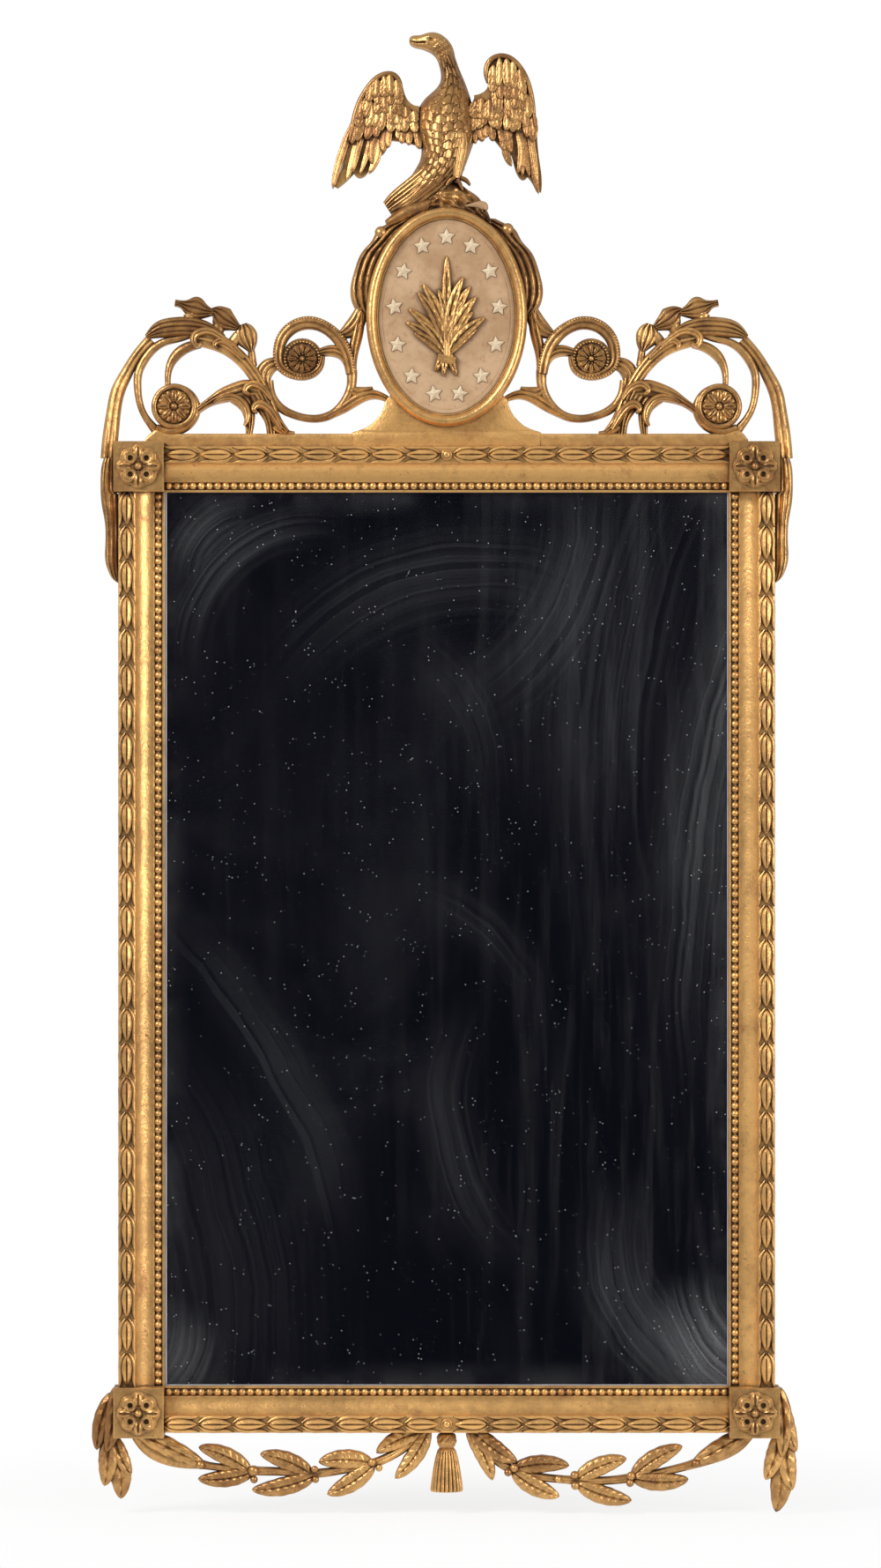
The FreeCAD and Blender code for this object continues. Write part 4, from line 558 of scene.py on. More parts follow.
def smooth(stops, count):
    """A natural cubic spline through rows of stops, by the distance of their first two columns, at even steps."""
    stops = np.asarray(stops, float)
    steps = np.hypot(*np.diff(stops[:, :2], axis=0).T)
    knots = np.concatenate(([0], np.cumsum(steps)))
    inner = np.arange(1, len(knots) - 1)
    system = np.eye(len(knots))
    system[inner, inner - 1] = steps[:-1]
    system[inner, inner] = 2 * (steps[:-1] + steps[1:])
    system[inner, inner + 1] = steps[1:]
    slopes = np.diff(stops, axis=0) / steps[:, None]
    right = np.zeros_like(stops)
    right[1:-1] = 6 * np.diff(slopes, axis=0)
    bend = np.linalg.solve(system, right)
    at = np.linspace(0, knots[-1], count)
    k = np.clip(np.searchsorted(knots, at, side="right") - 1, 0, len(steps) - 1)
    far = (at - knots[k])[:, None]
    span = steps[k][:, None]
    lead = slopes[k] - span * (2 * bend[k] + bend[k + 1]) / 6
    return stops[k] + far * (lead + far * (bend[k] / 2 + far * (bend[k + 1] - bend[k]) / (6 * span)))


def bell(value, middle, width):
    """1 at the middle, falling off as the exponential of minus the square of the distance over a width."""
    return np.exp(-(((value - middle) / width) ** 2))


def ramp(value, low, high):
    """0 at low, 1 at high, straight between them and level outside; high may be below low."""
    return np.clip((value - low) / (high - low), 0, 1)


def dome(t, v):
    """A half-round face: the square root of 1 - v squared."""
    return np.sqrt(np.clip(1 - v * v, 0, 1)) + 0 * t


def ribbed(count, groove):
    """A half-round face with gouged lines: it sinks by a share where a cosine of v peaks, between the ribs."""

    def rise(t, v):
        return dome(t, v) * (1 - groove * np.cos(math.pi * count * (v + 1) / 2) ** 4)

    return rise


def veined(veins, fold=0.36, ripple=0.13):
    """A leaf's face: a low dome with a sunk midrib and slanting veins, which are sines of t less a share of v."""

    def rise(t, v):
        side = np.abs(v)
        midrib = bell(v, 0, 0.11) * (1 - t**6)
        vein = np.sin(FULL_TURN * (veins * t - 1.1 * side))
        return dome(t, v) ** 0.7 * (0.86 + ripple * vein * (1 - midrib)) - fold * midrib + 0.1 * side

    return rise


def barbed(barbs):
    """A feather's face: a dome with a fine raised quill and slanting barbs."""

    def rise(t, v):
        side = np.abs(v)
        barb = np.sin(FULL_TURN * (barbs * t - 1.6 * side))
        return dome(t, v) ** 0.6 * (0.72 + 0.16 * barb * side) + 0.3 * bell(v, 0, 0.1) * (1 - t**8)

    return rise


def blade(t):
    """A pointed leaf's width along its length: a power of t times a power of 1 - t, 1 at its widest."""
    rise, fall = 0.5, 0.62
    widest = rise / (rise + fall)
    return t**rise * (1 - t) ** fall / (widest**rise * (1 - widest) ** fall)


def tongue(t):
    """A feather's width: it grows as a root of t, keeps its width, and ends in a quarter ellipse."""
    return np.sqrt(ramp(t, 0, 0.35)) * np.sqrt(np.clip(1 - ramp(t, 0.58, 1) ** 2, 0, 1))


def panel(left, right, back, edge, crown, rise, across=11):
    """A carved strip between two side lines: its face stands at edge plus rise(t, v) of the way to crown.

    t runs along the strip from 0 to 1, and v across it from -1 to 1, as the sine of even angles, so that points
    are closer together at its edges. Straight walls drop to the back.
    """
    rows = len(left)
    v = np.sin(np.linspace(-math.pi / 2, math.pi / 2, across))[None]
    t = np.linspace(0, 1, rows)[:, None]
    back, edge, crown = (np.broadcast_to(np.asarray(a, float), rows)[:, None] for a in (back, edge, crown))
    share = ((v + 1) / 2)[..., None]
    flat = left[:, None] * (1 - share) + right[:, None] * share
    depth = edge + (crown - edge) * rise(t, v)
    face = np.stack((flat[..., 0], depth, flat[..., 1]), -1)
    feet = face[:, [-1, 0]].copy()
    feet[..., 1] = back
    return np.concatenate((face, feet), 1)


def normals(line):
    """Unit vectors square to a line, on its left."""
    tangent = np.gradient(line, axis=0)
    tangent /= np.linalg.norm(tangent, axis=1, keepdims=True)
    return np.stack((-tangent[:, 1], tangent[:, 0]), 1)


def sweep(line, half, back, edge, crown, rise, across=11):
    """A panel carried along a line: its sides lie half a width to each side, square to the line."""
    reach = normals(line) * half[:, None]
    return panel(line + reach, line - reach, back, edge, crown, rise, across)


def stem(plan, stops, back, crown, rise=dome, rounding=None, across=11, per_stop=7, fuller=1.0):
    """A stem through stops of x, y and width in pixels; it rounds down to its edge by its width at most."""
    rows = smooth(stops, per_stop * len(stops))
    half = np.maximum(plan.size(rows[:, 2]) / 2 * fuller, 0.15)
    drop = np.minimum(mm("stem_rounding") if rounding is None else rounding, 1.1 * half)
    return sweep(plan(rows[:, :2]), half, back, crown - drop, crown, rise, across)


def leaf(plan, base, tip, width, back, edge, crown, rise, bend=0.0, lift=0.0, shape=blade, count=30, across=13):
    """A leaf from base to tip: its line bows sideways by bend, its face tips forward by lift at the tip."""
    start, end = plan(base), plan(tip)
    t = np.linspace(0, 1, count)
    run = end - start
    side = np.array((-run[1], run[0]))
    line = start + run * t[:, None] + side * (bend * 4 * t * (1 - t))[:, None]
    ragged = 1 + 0.025 * np.sin(31 * t + 5 * start[0]) * np.sin(math.pi * t)
    half = np.maximum(plan.size(width) / 2 * shape(t) * ragged, 0.12)
    edge = edge + lift * t**2
    fill = np.clip(half / half.max(), 0, 1) ** 0.5
    return sweep(line, half, back, edge, edge + (crown - edge[0]) * fill, rise, across)


def circle(count, closed=False):
    """Unit vectors at even angles once round."""
    angle = np.linspace(0, FULL_TURN, count, endpoint=closed)
    return np.stack((np.cos(angle), np.sin(angle)), 1)


def polar(centre, rim, back, relief, rings, spokes):
    """A round carving: relief(x, y) is its depth on a polar grid whose rim may vary with the angle."""
    angle = np.linspace(0, FULL_TURN, spokes, endpoint=False)
    share = np.linspace(0.02, 1, rings)[:, None] ** 0.9
    radius = share * (rim(angle) if callable(rim) else rim)
    x, y = radius * np.cos(angle), radius * np.sin(angle)
    face = np.stack((centre[0] + x, relief(x, y), centre[1] + y), -1)
    foot = face[-1:].copy()
    foot[..., 1] = back
    return np.concatenate((face, foot))


def ball(rows, ring):
    """A bead of radius 1 round the origin: rings of cosine radius at sine depth, from below its middle up."""
    rise = np.linspace(-0.45, 1.45, rows)[:, None]
    x, y = circle(ring).T
    return np.stack((np.cos(rise) * x, np.sin(rise) + 0 * x, np.cos(rise) * y), -1)


def beads(centres, depth, radius, rows, ring):
    """Copies of a bead at points across and up, at one depth."""
    centres = np.insert(np.asarray(centres, float), 1, depth, axis=1)
    return radius * ball(rows, ring)[None] + centres[:, None, None]


def slab(outline, centre, back, front, bevel):
    """A board from an outline seen whole from its centre: walls, a bevel and a flat face of shrinking rings."""
    toward = centre - outline
    toward = toward / np.linalg.norm(toward, axis=1, keepdims=True)
    inner = outline + toward * bevel
    eased = (outline + toward * bevel * 0.3, front - bevel * 0.3)
    rings = [(outline, back), (outline, front - bevel), eased, (inner, front)]
    rings += [(centre + (inner - centre) * share, front) for share in (0.75, 0.5, 0.25, 0.03)]
    return np.stack([np.insert(ring, 1, depth, axis=1) for ring, depth in rings])


# Plans: an anchor pixel, its place and the millimetres of a pixel
SCROLL_PLAN = Plan((400, 506), (-85.6, RAIL_TOP), 0.78777, 0.79769)
OVAL_PLAN = Plan((505.5, 358.5), (0, OVAL_MIDDLE), OVAL_WIDE / 91.5, OVAL_TALL / 125)
SHOULDER_PLAN = Plan((507, 506), (0, RAIL_TOP), 0.8)
EAGLE_PLAN = Plan((505.5, 233.5), (0, OVAL_MIDDLE + OVAL_TALL), 0.79902)
SHEAF_PLAN = Plan((507, 361.5), (0, OVAL_MIDDLE), 0.80292)
GARLAND_PLAN = Plan((508.5, 1625), (0, -RAIL_TOP), 0.7922, 0.80519)
SIDE_PLAN = Plan((125.3, 528), (-BLOCK_SIDE, BLOCK_MIDDLE[1]), 0.8)
CORNER_PLANS = {
    "left": Plan((128.2, 1577), (-BLOCK_SIDE, -SIGHT_HIGH), 0.8),
    "right": Plan((888, 1577), (BLOCK_SIDE, -SIGHT_HIGH), 0.8),
}

# Shapes read off the photo, in its pixels

# Stems of a scroll: share of the crest's depth, ribs, and stops of x, y and width
SCROLL_STEMS = {
    "outer_bow": (1, 2, [
        (167, 383, 12), (150.6, 401.6, 11), (138.4, 422, 12.6), (128.6, 442.4, 14.5), (124.1, 463, 14.7),
        (121.4, 483, 16), (119, 504, 16.5), (117.8, 519, 16.5),
    ]),
    "inner_stem": (0.95, 0, [
        (216, 377, 5), (200, 382, 6.4), (181.6, 386.3, 7.8), (167.3, 396, 8.6), (158.2, 408, 8.6),
        (152.2, 422, 8.2), (151.4, 436.3, 7.8), (153.3, 452.7, 7), (157.1, 465, 7), (163.7, 476, 7.8),
        (172, 486, 10),
    ]),
    "eye_ring": (1.05, 0, [
        (186.7, 436.7, 5), (202, 439, 7), (214.3, 447.6, 8), (219.4, 460.8, 8.6), (214.3, 476, 9), (202, 485, 10),
        (187.8, 488, 9), (173.5, 484, 8),
    ]),
    "tendril": (1, 0, [
        (224, 388, 9), (208.2, 392.4, 10.5), (196, 401.2, 10.5), (188.8, 413, 7.8), (186.7, 440, 5.3),
    ]),
    "top_leaf": (1.25, 4, [
        (161.6, 380.6, 4), (175.5, 372.7, 16.5), (194, 369, 20), (214.3, 369, 20), (232.7, 372.7, 16),
        (252, 379.6, 3),
    ]),
    "main_stem": (1.2, 3, [
        (324.5, 489, 6), (314.3, 478.2, 10), (304.1, 458.8, 12.6), (295, 438.4, 13), (283.7, 420, 14),
        (269.4, 403.7, 14.7), (253, 391.4, 16.3), (236.7, 385, 17), (219.4, 382.2, 14),
    ]),
    "eye_leaf": (1.1, 3, [
        (218, 466, 8), (234.7, 454.7, 9), (249, 447.6, 15), (265.3, 442.4, 18.8), (281.6, 439.4, 18.4),
        (294, 442.4, 12),
    ]),
    "lower_lobe": (1, 3, [(263.3, 447.6, 16), (275.5, 456.7, 16), (280.6, 471, 12), (279.8, 494, 6)]),
    "middle_lobe": (1, 3, [(287.8, 444.5, 16), (297, 458.8, 17), (304.1, 475, 12), (306.5, 494, 10)]),
    "foot_curl": (1, 0, [(310, 482, 10), (321.4, 489.5, 8), (333, 491, 5)]),
    "large_bow": (0.95, 0, [
        (304, 430, 8), (306.5, 446.5, 9), (316.7, 460.8, 9), (334.7, 470, 8), (355, 473.5, 8), (375.5, 468.6, 8.6),
        (390.8, 453.7, 9), (398.4, 436.3, 10), (399, 418, 11.4),
    ]),
    "volute": (1.15, 2, [
        (398.4, 422, 11.4), (394, 401.6, 13), (384.7, 383.7, 13.5), (371.4, 371.4, 13), (354, 364.5, 13.5),
        (334.7, 367.3, 13.5), (320.4, 379.2, 12.6), (314.3, 396.5, 11.4), (316.3, 413, 10), (326.5, 421.5, 9.4),
        (341.8, 425.4, 8), (354, 422.6, 7.4), (362.6, 414, 6.6), (365.4, 403, 5),
    ]),
    "volute_leaf": (1, 3, [(360, 399, 8), (375.5, 396, 12), (388.8, 400.6, 12), (396, 414, 9)]),
    "web_leaf": (1, 3, [(314.3, 410, 12), (303, 414.3, 17), (297, 424, 17), (301, 440.4, 10)]),
    "oval_tendril": (1, 2, [
        (371, 471, 7.4), (389.8, 460.8, 11), (404, 451.6, 12.5), (417, 446.5, 11), (428, 446.5, 9), (440, 451, 6),
    ]),
    "oval_stem": (1, 2, [(398.6, 421, 11), (400, 402, 10.5), (404, 383, 12), (408, 362, 11), (409, 344, 9)]),
    "volute_web": (1, 3, [(386, 378, 8), (394, 374, 15), (402, 367, 18), (408, 356, 16), (411, 343, 9)]),
    "tendril_web": (1, 2, [(397, 440, 8), (405, 444, 13), (415, 443, 11), (424, 440, 6)]),
    "spray_stem": (1, 0, [(284.7, 413, 9), (282.7, 394, 7)]),
    "first_bud": (1.1, 4, [
        (282.7, 397, 5), (280, 387.3, 18.8), (276.5, 378.2, 24), (275, 370.6, 18), (273.5, 366, 8),
    ]),
    "second_bud": (1.1, 4, [
        (268, 369.6, 7), (258.2, 364, 18.4), (250, 358.8, 25), (243, 352.7, 16), (237, 350.4, 6),
    ]),
    "third_bud": (1.1, 4, [
        (239, 352.3, 6), (228.6, 350.6, 16), (218.4, 347.6, 24.5), (209.2, 345.5, 16), (202, 343, 8),
        (195, 341.6, 7),
    ]),
    "first_link": (1, 0, [(268, 379, 12), (260, 389, 12)]),
    "second_link": (1, 0, [(246, 366, 14), (243, 377, 12)]),
    "third_link": (1, 0, [(211.2, 354, 12), (213.3, 366, 14)]),
}
# Small acanthus curls on the scroll's stems
CURL_PIXELS = [
    [
        (262, 391, 4), (248, 381, 8), (236.7, 374.8, 9), (224, 375.4, 9.6), (216.5, 383, 8.4), (220, 390.5, 5.6),
        (226, 388.5, 3),
    ],
    [(275, 405, 4), (264, 394, 8), (253, 386, 9), (244.4, 386, 8), (240.5, 391, 5.4), (244, 394.5, 3)],
    [(306, 452, 4), (298, 441, 8), (288, 435, 9), (279, 437, 8), (276, 443, 6), (281, 446, 3)],
    [(240, 456, 3), (254, 450, 8), (268, 452, 9), (277, 462, 9), (279, 474, 7), (275, 482, 3)],
    [(318, 486, 4), (309, 470, 9), (300, 460, 10), (290, 458, 9), (286, 464, 6), (290, 467, 3)],
]
# Eyes of the scrolls: middle and radius
EYE_PIXELS = {"outer": (194, 460, 23), "inner": (341.8, 405.7, 23.5)}
FOOT_PIXELS = [
    (382, 506), (382, 493), (398, 491.6), (401, 489), (406, 487.6), (412, 485.5), (419, 482), (425, 477),
    (430.5, 471), (434, 465), (436.5, 459), (437, 453), (450, 440),
]
FOOT_CENTRE_PIXEL = (507, 489)
OVAL_LEAF_PIXELS = [
    (450, 246), (438, 252), (427, 259), (421, 270), (410, 283), (401, 304), (396, 327), (398, 342), (406, 353),
    (416, 356),
]
KNOB_PIXELS = [(430.9, 262, 7.2), (574.6, 258.4, 7.2)]
# Leaves of the sheaf, long ones first: tip and width
SHEAF_LEAF_PIXELS = [
    (507, 293, 11), (480, 325, 13), (474, 334, 12), (464, 353, 12), (461, 368, 11), (526, 317, 12), (534, 327, 12),
    (541, 339, 12), (550.5, 363, 12), (487, 346, 11), (523, 344, 11), (476, 366, 11), (537, 356, 11),
    (497, 330, 10), (470, 380, 11), (541, 376, 11),
]
SHEAF_STALK_PIXELS = [(507, 345, 3), (506, 370, 6), (507, 392, 9), (507, 410, 10)]
SHEAF_TIE_PIXELS = [(497, 407, 10), (517, 412, 10)]
SHEAF_BASE_PIXEL = (507, 414)
SHEAF_STEM_START_PIXEL = (507, 396)
SHEAF_STEM_PIXELS = [(494, 424), (503, 429), (518, 429)]
SHEAF_STEM_WIDTH_PIXELS = 8
# The eagle's spine: x, y and half width, and the depth of its front in millimetres
TRUNK_STOPS = [
    (503, 55.7, 10.5, 18.0), (508, 72, 10.4, 18.0), (511.8, 91.4, 15, 22.5), (510, 109.3, 25, 27.0),
    (505.5, 129, 34, 30), (505, 148.6, 34, 30), (503.8, 168, 28, 28.5), (498.4, 186, 25, 25.5),
    (485, 204, 21.4, 21.0), (470.7, 218, 17.9, 16.5), (456.4, 229, 14, 13.5), (443, 236, 8, 10.5),
]
# The head's upper and lower outlines from the beak's tip to the neck
HEAD_UPPER = [
    (463, 41.6), (463.8, 39.6), (466.5, 37.9), (471, 37.4), (476, 36.9), (482, 35), (488, 33.8), (496, 34.8),
    (504, 39.5), (510, 46), (513.5, 53), (515, 62),
]
HEAD_LOWER = [
    (463, 45), (464.2, 47.6), (467.2, 50), (471.4, 51.6), (475.4, 52.4), (479.4, 53.6), (484, 55.6), (488, 57.6),
    (490.6, 59.6), (492.8, 62), (495.2, 66), (498.6, 73),
]
TAIL_STOPS = [(512, 178, 36), (497, 195, 38), (478, 211, 38), (460, 224, 36), (447, 232.5, 31), (440, 237, 25)]
THIGH_STOPS = [(521.6, 150, 15), (521.6, 165, 19.6), (519, 185, 15), (517.1, 201, 9)]
SHOULDERS = [
    [(468, 122, 8), (470, 132, 14), (472, 146, 15), (473, 160, 8)],
    [(542, 107, 8), (541, 116, 14), (539, 130, 14), (536, 146, 12), (534, 158, 6)],
]
TALONS = [
    [(515, 200.4, 4), (509, 204, 4), (505, 209.3, 2)],
    [(518, 202.1, 4.4), (521, 208, 4), (524, 215, 2)],
    [(521.6, 200.4, 4), (528, 203.5, 4), (532, 208.5, 2)],
]
PERCH_PIXELS = [
    (478, 250), (486, 228), (497, 213), (506, 207), (517, 205), (528, 212), (538.6, 219), (546.6, 228), (552, 238),
    (556, 248),
]
ROCK_STOPS = [(437, 252, 8), (447, 247, 14), (460, 240, 17), (474, 235, 18), (490, 230, 16)]
CHIP_STOPS = [(527, 232.8, 1.5), (536, 231.6, 5), (543.5, 231.4, 8.5), (548.5, 233.4, 9), (551, 236.6, 4)]
# Feathers: x and y of the root, then of the tip
WING_FEATHER_PIXELS = {
    "left": {
        "primary": [
            (406.8, 120, 377.5, 209.6), (411.8, 127.1, 388.6, 204.8), (416.8, 130.7, 398.4, 195.9),
            (421.6, 134.3, 406.8, 199.1), (426.4, 136.1, 415.7, 193.6), (431.1, 137, 422.9, 180.7),
            (435.9, 137, 431.8, 172.7), (441.2, 136.1, 438.6, 163.8), (447.5, 136.1, 446.6, 157.5),
            (454.6, 136.1, 454.6, 158.4), (462.7, 136.1, 463.6, 160.5), (470.7, 136.1, 472.5, 163.2),
        ],
        "middle": [
            (404.6, 127.1, 396.6, 161.1), (411.8, 120, 405.5, 155.7), (418.9, 120, 414.5, 153),
            (426.4, 122.7, 423.4, 152.1), (434.1, 124.5, 432.3, 151.2), (442.1, 125.4, 441.2, 149.5),
            (450.2, 125.4, 450.2, 148.6), (458.2, 127.1, 458.8, 147.7), (467.1, 128.9, 468, 148.6),
        ],
        "lesser": [
            (410.9, 109.3, 406.8, 134.3), (418, 103.9, 415, 130.7), (426.1, 102.1, 424.3, 128.9),
            (434.1, 103.9, 433.6, 128.9), (442.1, 107.5, 442.5, 128.9), (450.2, 112.9, 451.1, 130.7),
            (459.1, 120, 460, 134.3), (468, 121.8, 468.9, 136.1),
        ],
        "small": [
            (418.9, 96.8, 416.2, 112.9), (426.1, 91.4, 424.6, 109.3), (433.6, 87.9, 433.6, 107.5),
            (441.2, 86.1, 441.8, 107.5), (448.4, 91.4, 449.3, 111.1), (452, 98.6, 453.2, 116.4),
        ],
    },
    "right": {
        "primary": [
            (600.2, 120, 612.1, 215.5), (595.7, 127.1, 605.5, 210.2), (591.2, 130.7, 599.3, 200.4),
            (586.8, 134.3, 591.6, 201.2), (582.3, 136.1, 585.4, 193.2), (577.9, 137.9, 580.5, 181.6),
            (573.4, 137.9, 577, 173.6), (568, 137.9, 570.7, 167.3), (562.7, 136.1, 564.5, 162),
            (556.4, 134.3, 558.2, 155.7), (550.2, 132.5, 551.1, 152.1), (543.9, 132.5, 543.6, 154.8),
            (538.6, 134.3, 537.1, 160.2), (533, 132, 532, 160),
        ],
        "middle": [
            (598.4, 116.4, 603.8, 155.7), (592.1, 116.4, 596.1, 152.1), (585.4, 116.4, 588.6, 150.4),
            (578.2, 117.3, 580.7, 149.5), (571.1, 118.2, 572.9, 147.7), (563.9, 119.1, 565, 145),
            (556.8, 120, 557, 143.2), (549.6, 120, 548.9, 142.3), (542.1, 120, 540.7, 143.2),
            (535.5, 118, 534.5, 145),
        ],
        "lesser": [
            (595.7, 98.6, 599.3, 127.1), (588.6, 95, 591.2, 125.4), (581.4, 93.2, 583.2, 124.5),
            (574.3, 93.2, 575.4, 123.6), (567.1, 95, 567.5, 123.6), (560, 98.6, 559.3, 125.4),
            (553.8, 105.7, 552.1, 127.1), (545.7, 109.3, 543.9, 128.9), (539, 107, 538, 128),
        ],
        "small": [
            (588.6, 78.9, 591.8, 103.9), (581.4, 71.8, 583.6, 98.6), (573.4, 68.2, 574.6, 96.8),
            (565.4, 68.2, 565.4, 96.8), (558.2, 73.6, 557.1, 100.4),
        ],
    },
}
WING_ROLL_PIXELS = {
    "left": [
        (454.6, 103.9), (451.1, 89.6), (443.9, 82.1), (436.8, 81.6), (426.1, 86.1), (415.4, 97.7), (407.3, 111.1),
        (400.2, 132.5), (394.8, 157.5),
    ],
    "right": [
        (552, 91.4), (550.4, 78.9), (554.6, 66.8), (564.5, 61.4), (575.2, 62.5), (586.8, 71.4), (596.6, 87.9),
        (602.9, 112.9), (606.4, 141.4),
    ],
}
# The side drop's outer line, and its inner one along the block and the stile
SIDE_DROP_PIXELS = [
    (109, 519), (110.7, 539), (113, 572), (116.3, 590), (117, 618), (117.4, 637.5), (120.3, 647), (126, 656.6),
    (133.5, 661.5),
]
SIDE_DROP_INNER = [(125.3, 517), (125.3, 556), (130.3, 558), (130.3, 661.5)]
# Leaves: base, tip and width
CORNER_LEAF_PIXELS = {
    "left": [
        ((129, 1578), (119, 1652), 17), ((126, 1585), (108, 1650), 16), ((119, 1636), (116.6, 1691), 18),
        ((127, 1634), (147, 1679), 15), ((129, 1650), (135, 1706), 20),
    ],
    "right": [
        ((887, 1578), (891, 1658), 17), ((889, 1585), (908, 1652), 18), ((889, 1630), (872.8, 1684), 17),
        ((897, 1636), (903.7, 1696), 18), ((891, 1650), (885, 1721), 21),
    ],
}
GARLAND_STEM_PIXELS = {
    "left": [
        (150, 1622, 14), (168, 1642, 20), (190, 1653, 20), (212, 1659, 15), (228, 1663, 8), (256, 1667, 7),
        (287, 1670, 8), (320, 1671, 7), (356, 1673, 8), (389, 1669, 7), (423, 1662, 8), (455, 1647, 8),
        (488, 1620, 10),
    ],
    "right": [
        (533, 1618, 10), (561.4, 1654, 8), (584, 1669, 8), (615, 1677, 7), (646, 1680, 7), (660, 1681, 8),
        (693, 1681, 7), (721, 1678, 8), (749.4, 1673, 7), (775, 1667, 7), (796, 1661, 9), (820, 1650, 17),
        (842, 1638, 18), (858, 1622, 14),
    ],
}
GARLAND_LEAF_PIXELS = {
    "left": [
        ((283, 1670), (227, 1644.5), 19), ((286, 1671), (226.6, 1678), 18.6), ((354, 1674), (297.8, 1652), 19.7),
        ((357, 1675), (289, 1690), 19.7), ((423, 1661), (365, 1660), 21), ((425, 1662), (374.3, 1694), 20.6),
        ((486, 1624), (431, 1648), 19.7), ((488, 1622), (451.4, 1675), 19.2),
    ],
    "right": [
        ((532, 1622), (559.4, 1677), 19), ((536, 1621), (586.6, 1657.3), 21), ((584, 1668), (645.5, 1664), 19),
        ((584, 1670), (635, 1696.6), 20), ((657, 1680), (711.8, 1657.3), 20), ((658, 1684), (717.4, 1701.7), 20),
        ((721, 1677), (776, 1644), 20), ((722, 1678), (782.5, 1678.7), 19.5),
    ],
}
GARLAND_END_PIXELS = {"left": ((150, 1624), (232, 1664), 21), "right": ((858, 1624), (790, 1662), 20)}
GARLAND_BERRY_PIXELS = {
    "left": [
        (226, 1662.5, 5), (287, 1669.2, 6.3), (287.4, 1679, 4.4), (357, 1667.5, 4.1), (358, 1679, 4.1),
        (423, 1659.6, 4.7), (431, 1666, 4.1),
    ],
    "right": [
        (586, 1666, 5), (579, 1671, 4.5), (655.4, 1674, 4.8), (656, 1686, 4.8), (636, 1678.5, 4), (720, 1675, 5),
        (719, 1683, 4.5), (794.3, 1661, 5),
    ],
}


# Frame

MEMBERS = {"left": SIGHT_HIGH, "right": SIGHT_HIGH, "top": SIGHT_WIDE, "bottom": SIGHT_WIDE}
MEMBER_NODES = {"left": "stile_left", "right": "stile_right", "top": "rail_top", "bottom": "rail_bottom"}
# Painted light and shade: each member's gold is toned lighter or darker by its side, as light falls on the frame,
# lightest at the top and darkest at the bottom
MEMBER_LIGHT_TONES = {"left": -0.8, "right": 0.2, "top": 2, "bottom": -1}
# Moulding outline: offset from the sight edge and depth, from the back round the husk seat and on from the cove
SEAT_OUTLINE = [(41.5, 0), (41.5, 25.2), (41.2, 25.8), (40.6, 26), (26.3, 26), (25.7, 25.7)]
CHANNEL_OUTLINE = [
    (9.2, 15.35), (8.9, 15), (8.9, 13.5), (2.1, 13.5), (2.1, 15.1), (1.85, 15.45), (1.5, 15.5),
    (0.4, 15.5), (0.1, 15.4), (0, 15.1), (0, 12), (6.5, 12), (6.5, 0),
]
COVE_START = (9.5, 15.5)
COVE_RADIUS = 18.72
COVE_TURN = 1.0249
# Painted highlight: pale strips at the glass's edge stand for the light it catches; their widths, distance from the
# sight edge, and depths of back, edge and crown
SLIP_WIDTHS = {"left": 1.6, "right": 1, "bottom": 0.7}
SLIP_GAP = 0.3
SLIP_DEPTHS = (12.05, 12.3, 12.5)


def on_member(side, offset, along, depth):
    """Points on a frame member from the offset out from the sight edge, the place along it and the depth."""
    offset, along, depth = np.broadcast_arrays(offset, along, depth)
    if side in SIDES:
        return np.stack((SIDES[side] * (SIGHT_WIDE + offset), depth, along), -1)
    return np.stack((along, depth, ROWS[side] * (SIGHT_HIGH + offset)), -1)


def bar(side, offset, low, high, half, depths, rise, across=7, rows=40):
    """A straight bar along a member from low to high, with depths of its back, edge and crown."""
    line = on_member(side, offset, np.linspace(low, high, rows), 0)[:, [0, 2]]
    return sweep(line, np.full(rows, half), *depths, rise, across)


def moulding(side):
    """The moulding's outline carried straight along a member; the cove is an arc level at its inner end."""
    turn = np.linspace(COVE_TURN, 0, 17)
    cove = COVE_START + COVE_RADIUS * np.stack((np.sin(turn), 1 - np.cos(turn)), 1)
    outline = np.concatenate((SEAT_OUTLINE, cove, CHANNEL_OUTLINE))
    along = np.linspace(-MEMBERS[side], MEMBERS[side], 90)[:, None]
    return on_member(side, outline[None, :, 0], along, outline[None, :, 1])


class MIRROR_OT_mouldings(bpy.types.Operator):
    """Makes the moulded stiles and rails"""

    bl_idname = "federal_mirror.mouldings"
    bl_label = "Mouldings"

    def execute(self, context):
        for side, node in MEMBER_NODES.items():
            carving = Carving(len(node))
            # Painted light and shade: the member's tone by its side
            carving.add(moulding(side), tone=MEMBER_LIGHT_TONES[side])
            carving.build("moulding_" + side, node, crease=30)
        # Painted highlight: pale strips along the glass's edge
        carving = Carving(5)
        for side, width in SLIP_WIDTHS.items():
            half, reach = width / 2, MEMBERS[side]
            carving.add(bar(side, -SLIP_GAP - half, -reach, reach, half, SLIP_DEPTHS, dome), tone=0)
        carving.build("glass_edge_highlight", surface="glass_edge_highlight", slot="silvered_glass")
        return {"FINISHED"}


BEAD_PITCH = 7.4
BEAD_OFFSET = 5.75
BEAD_DEPTH = 14.1
BEAD_SPREAD = 0.025
BEAD_TONE = -1.1
THREAD_HALF = 1.3
THREAD_DEPTHS = (13.4, 14, 15.4)


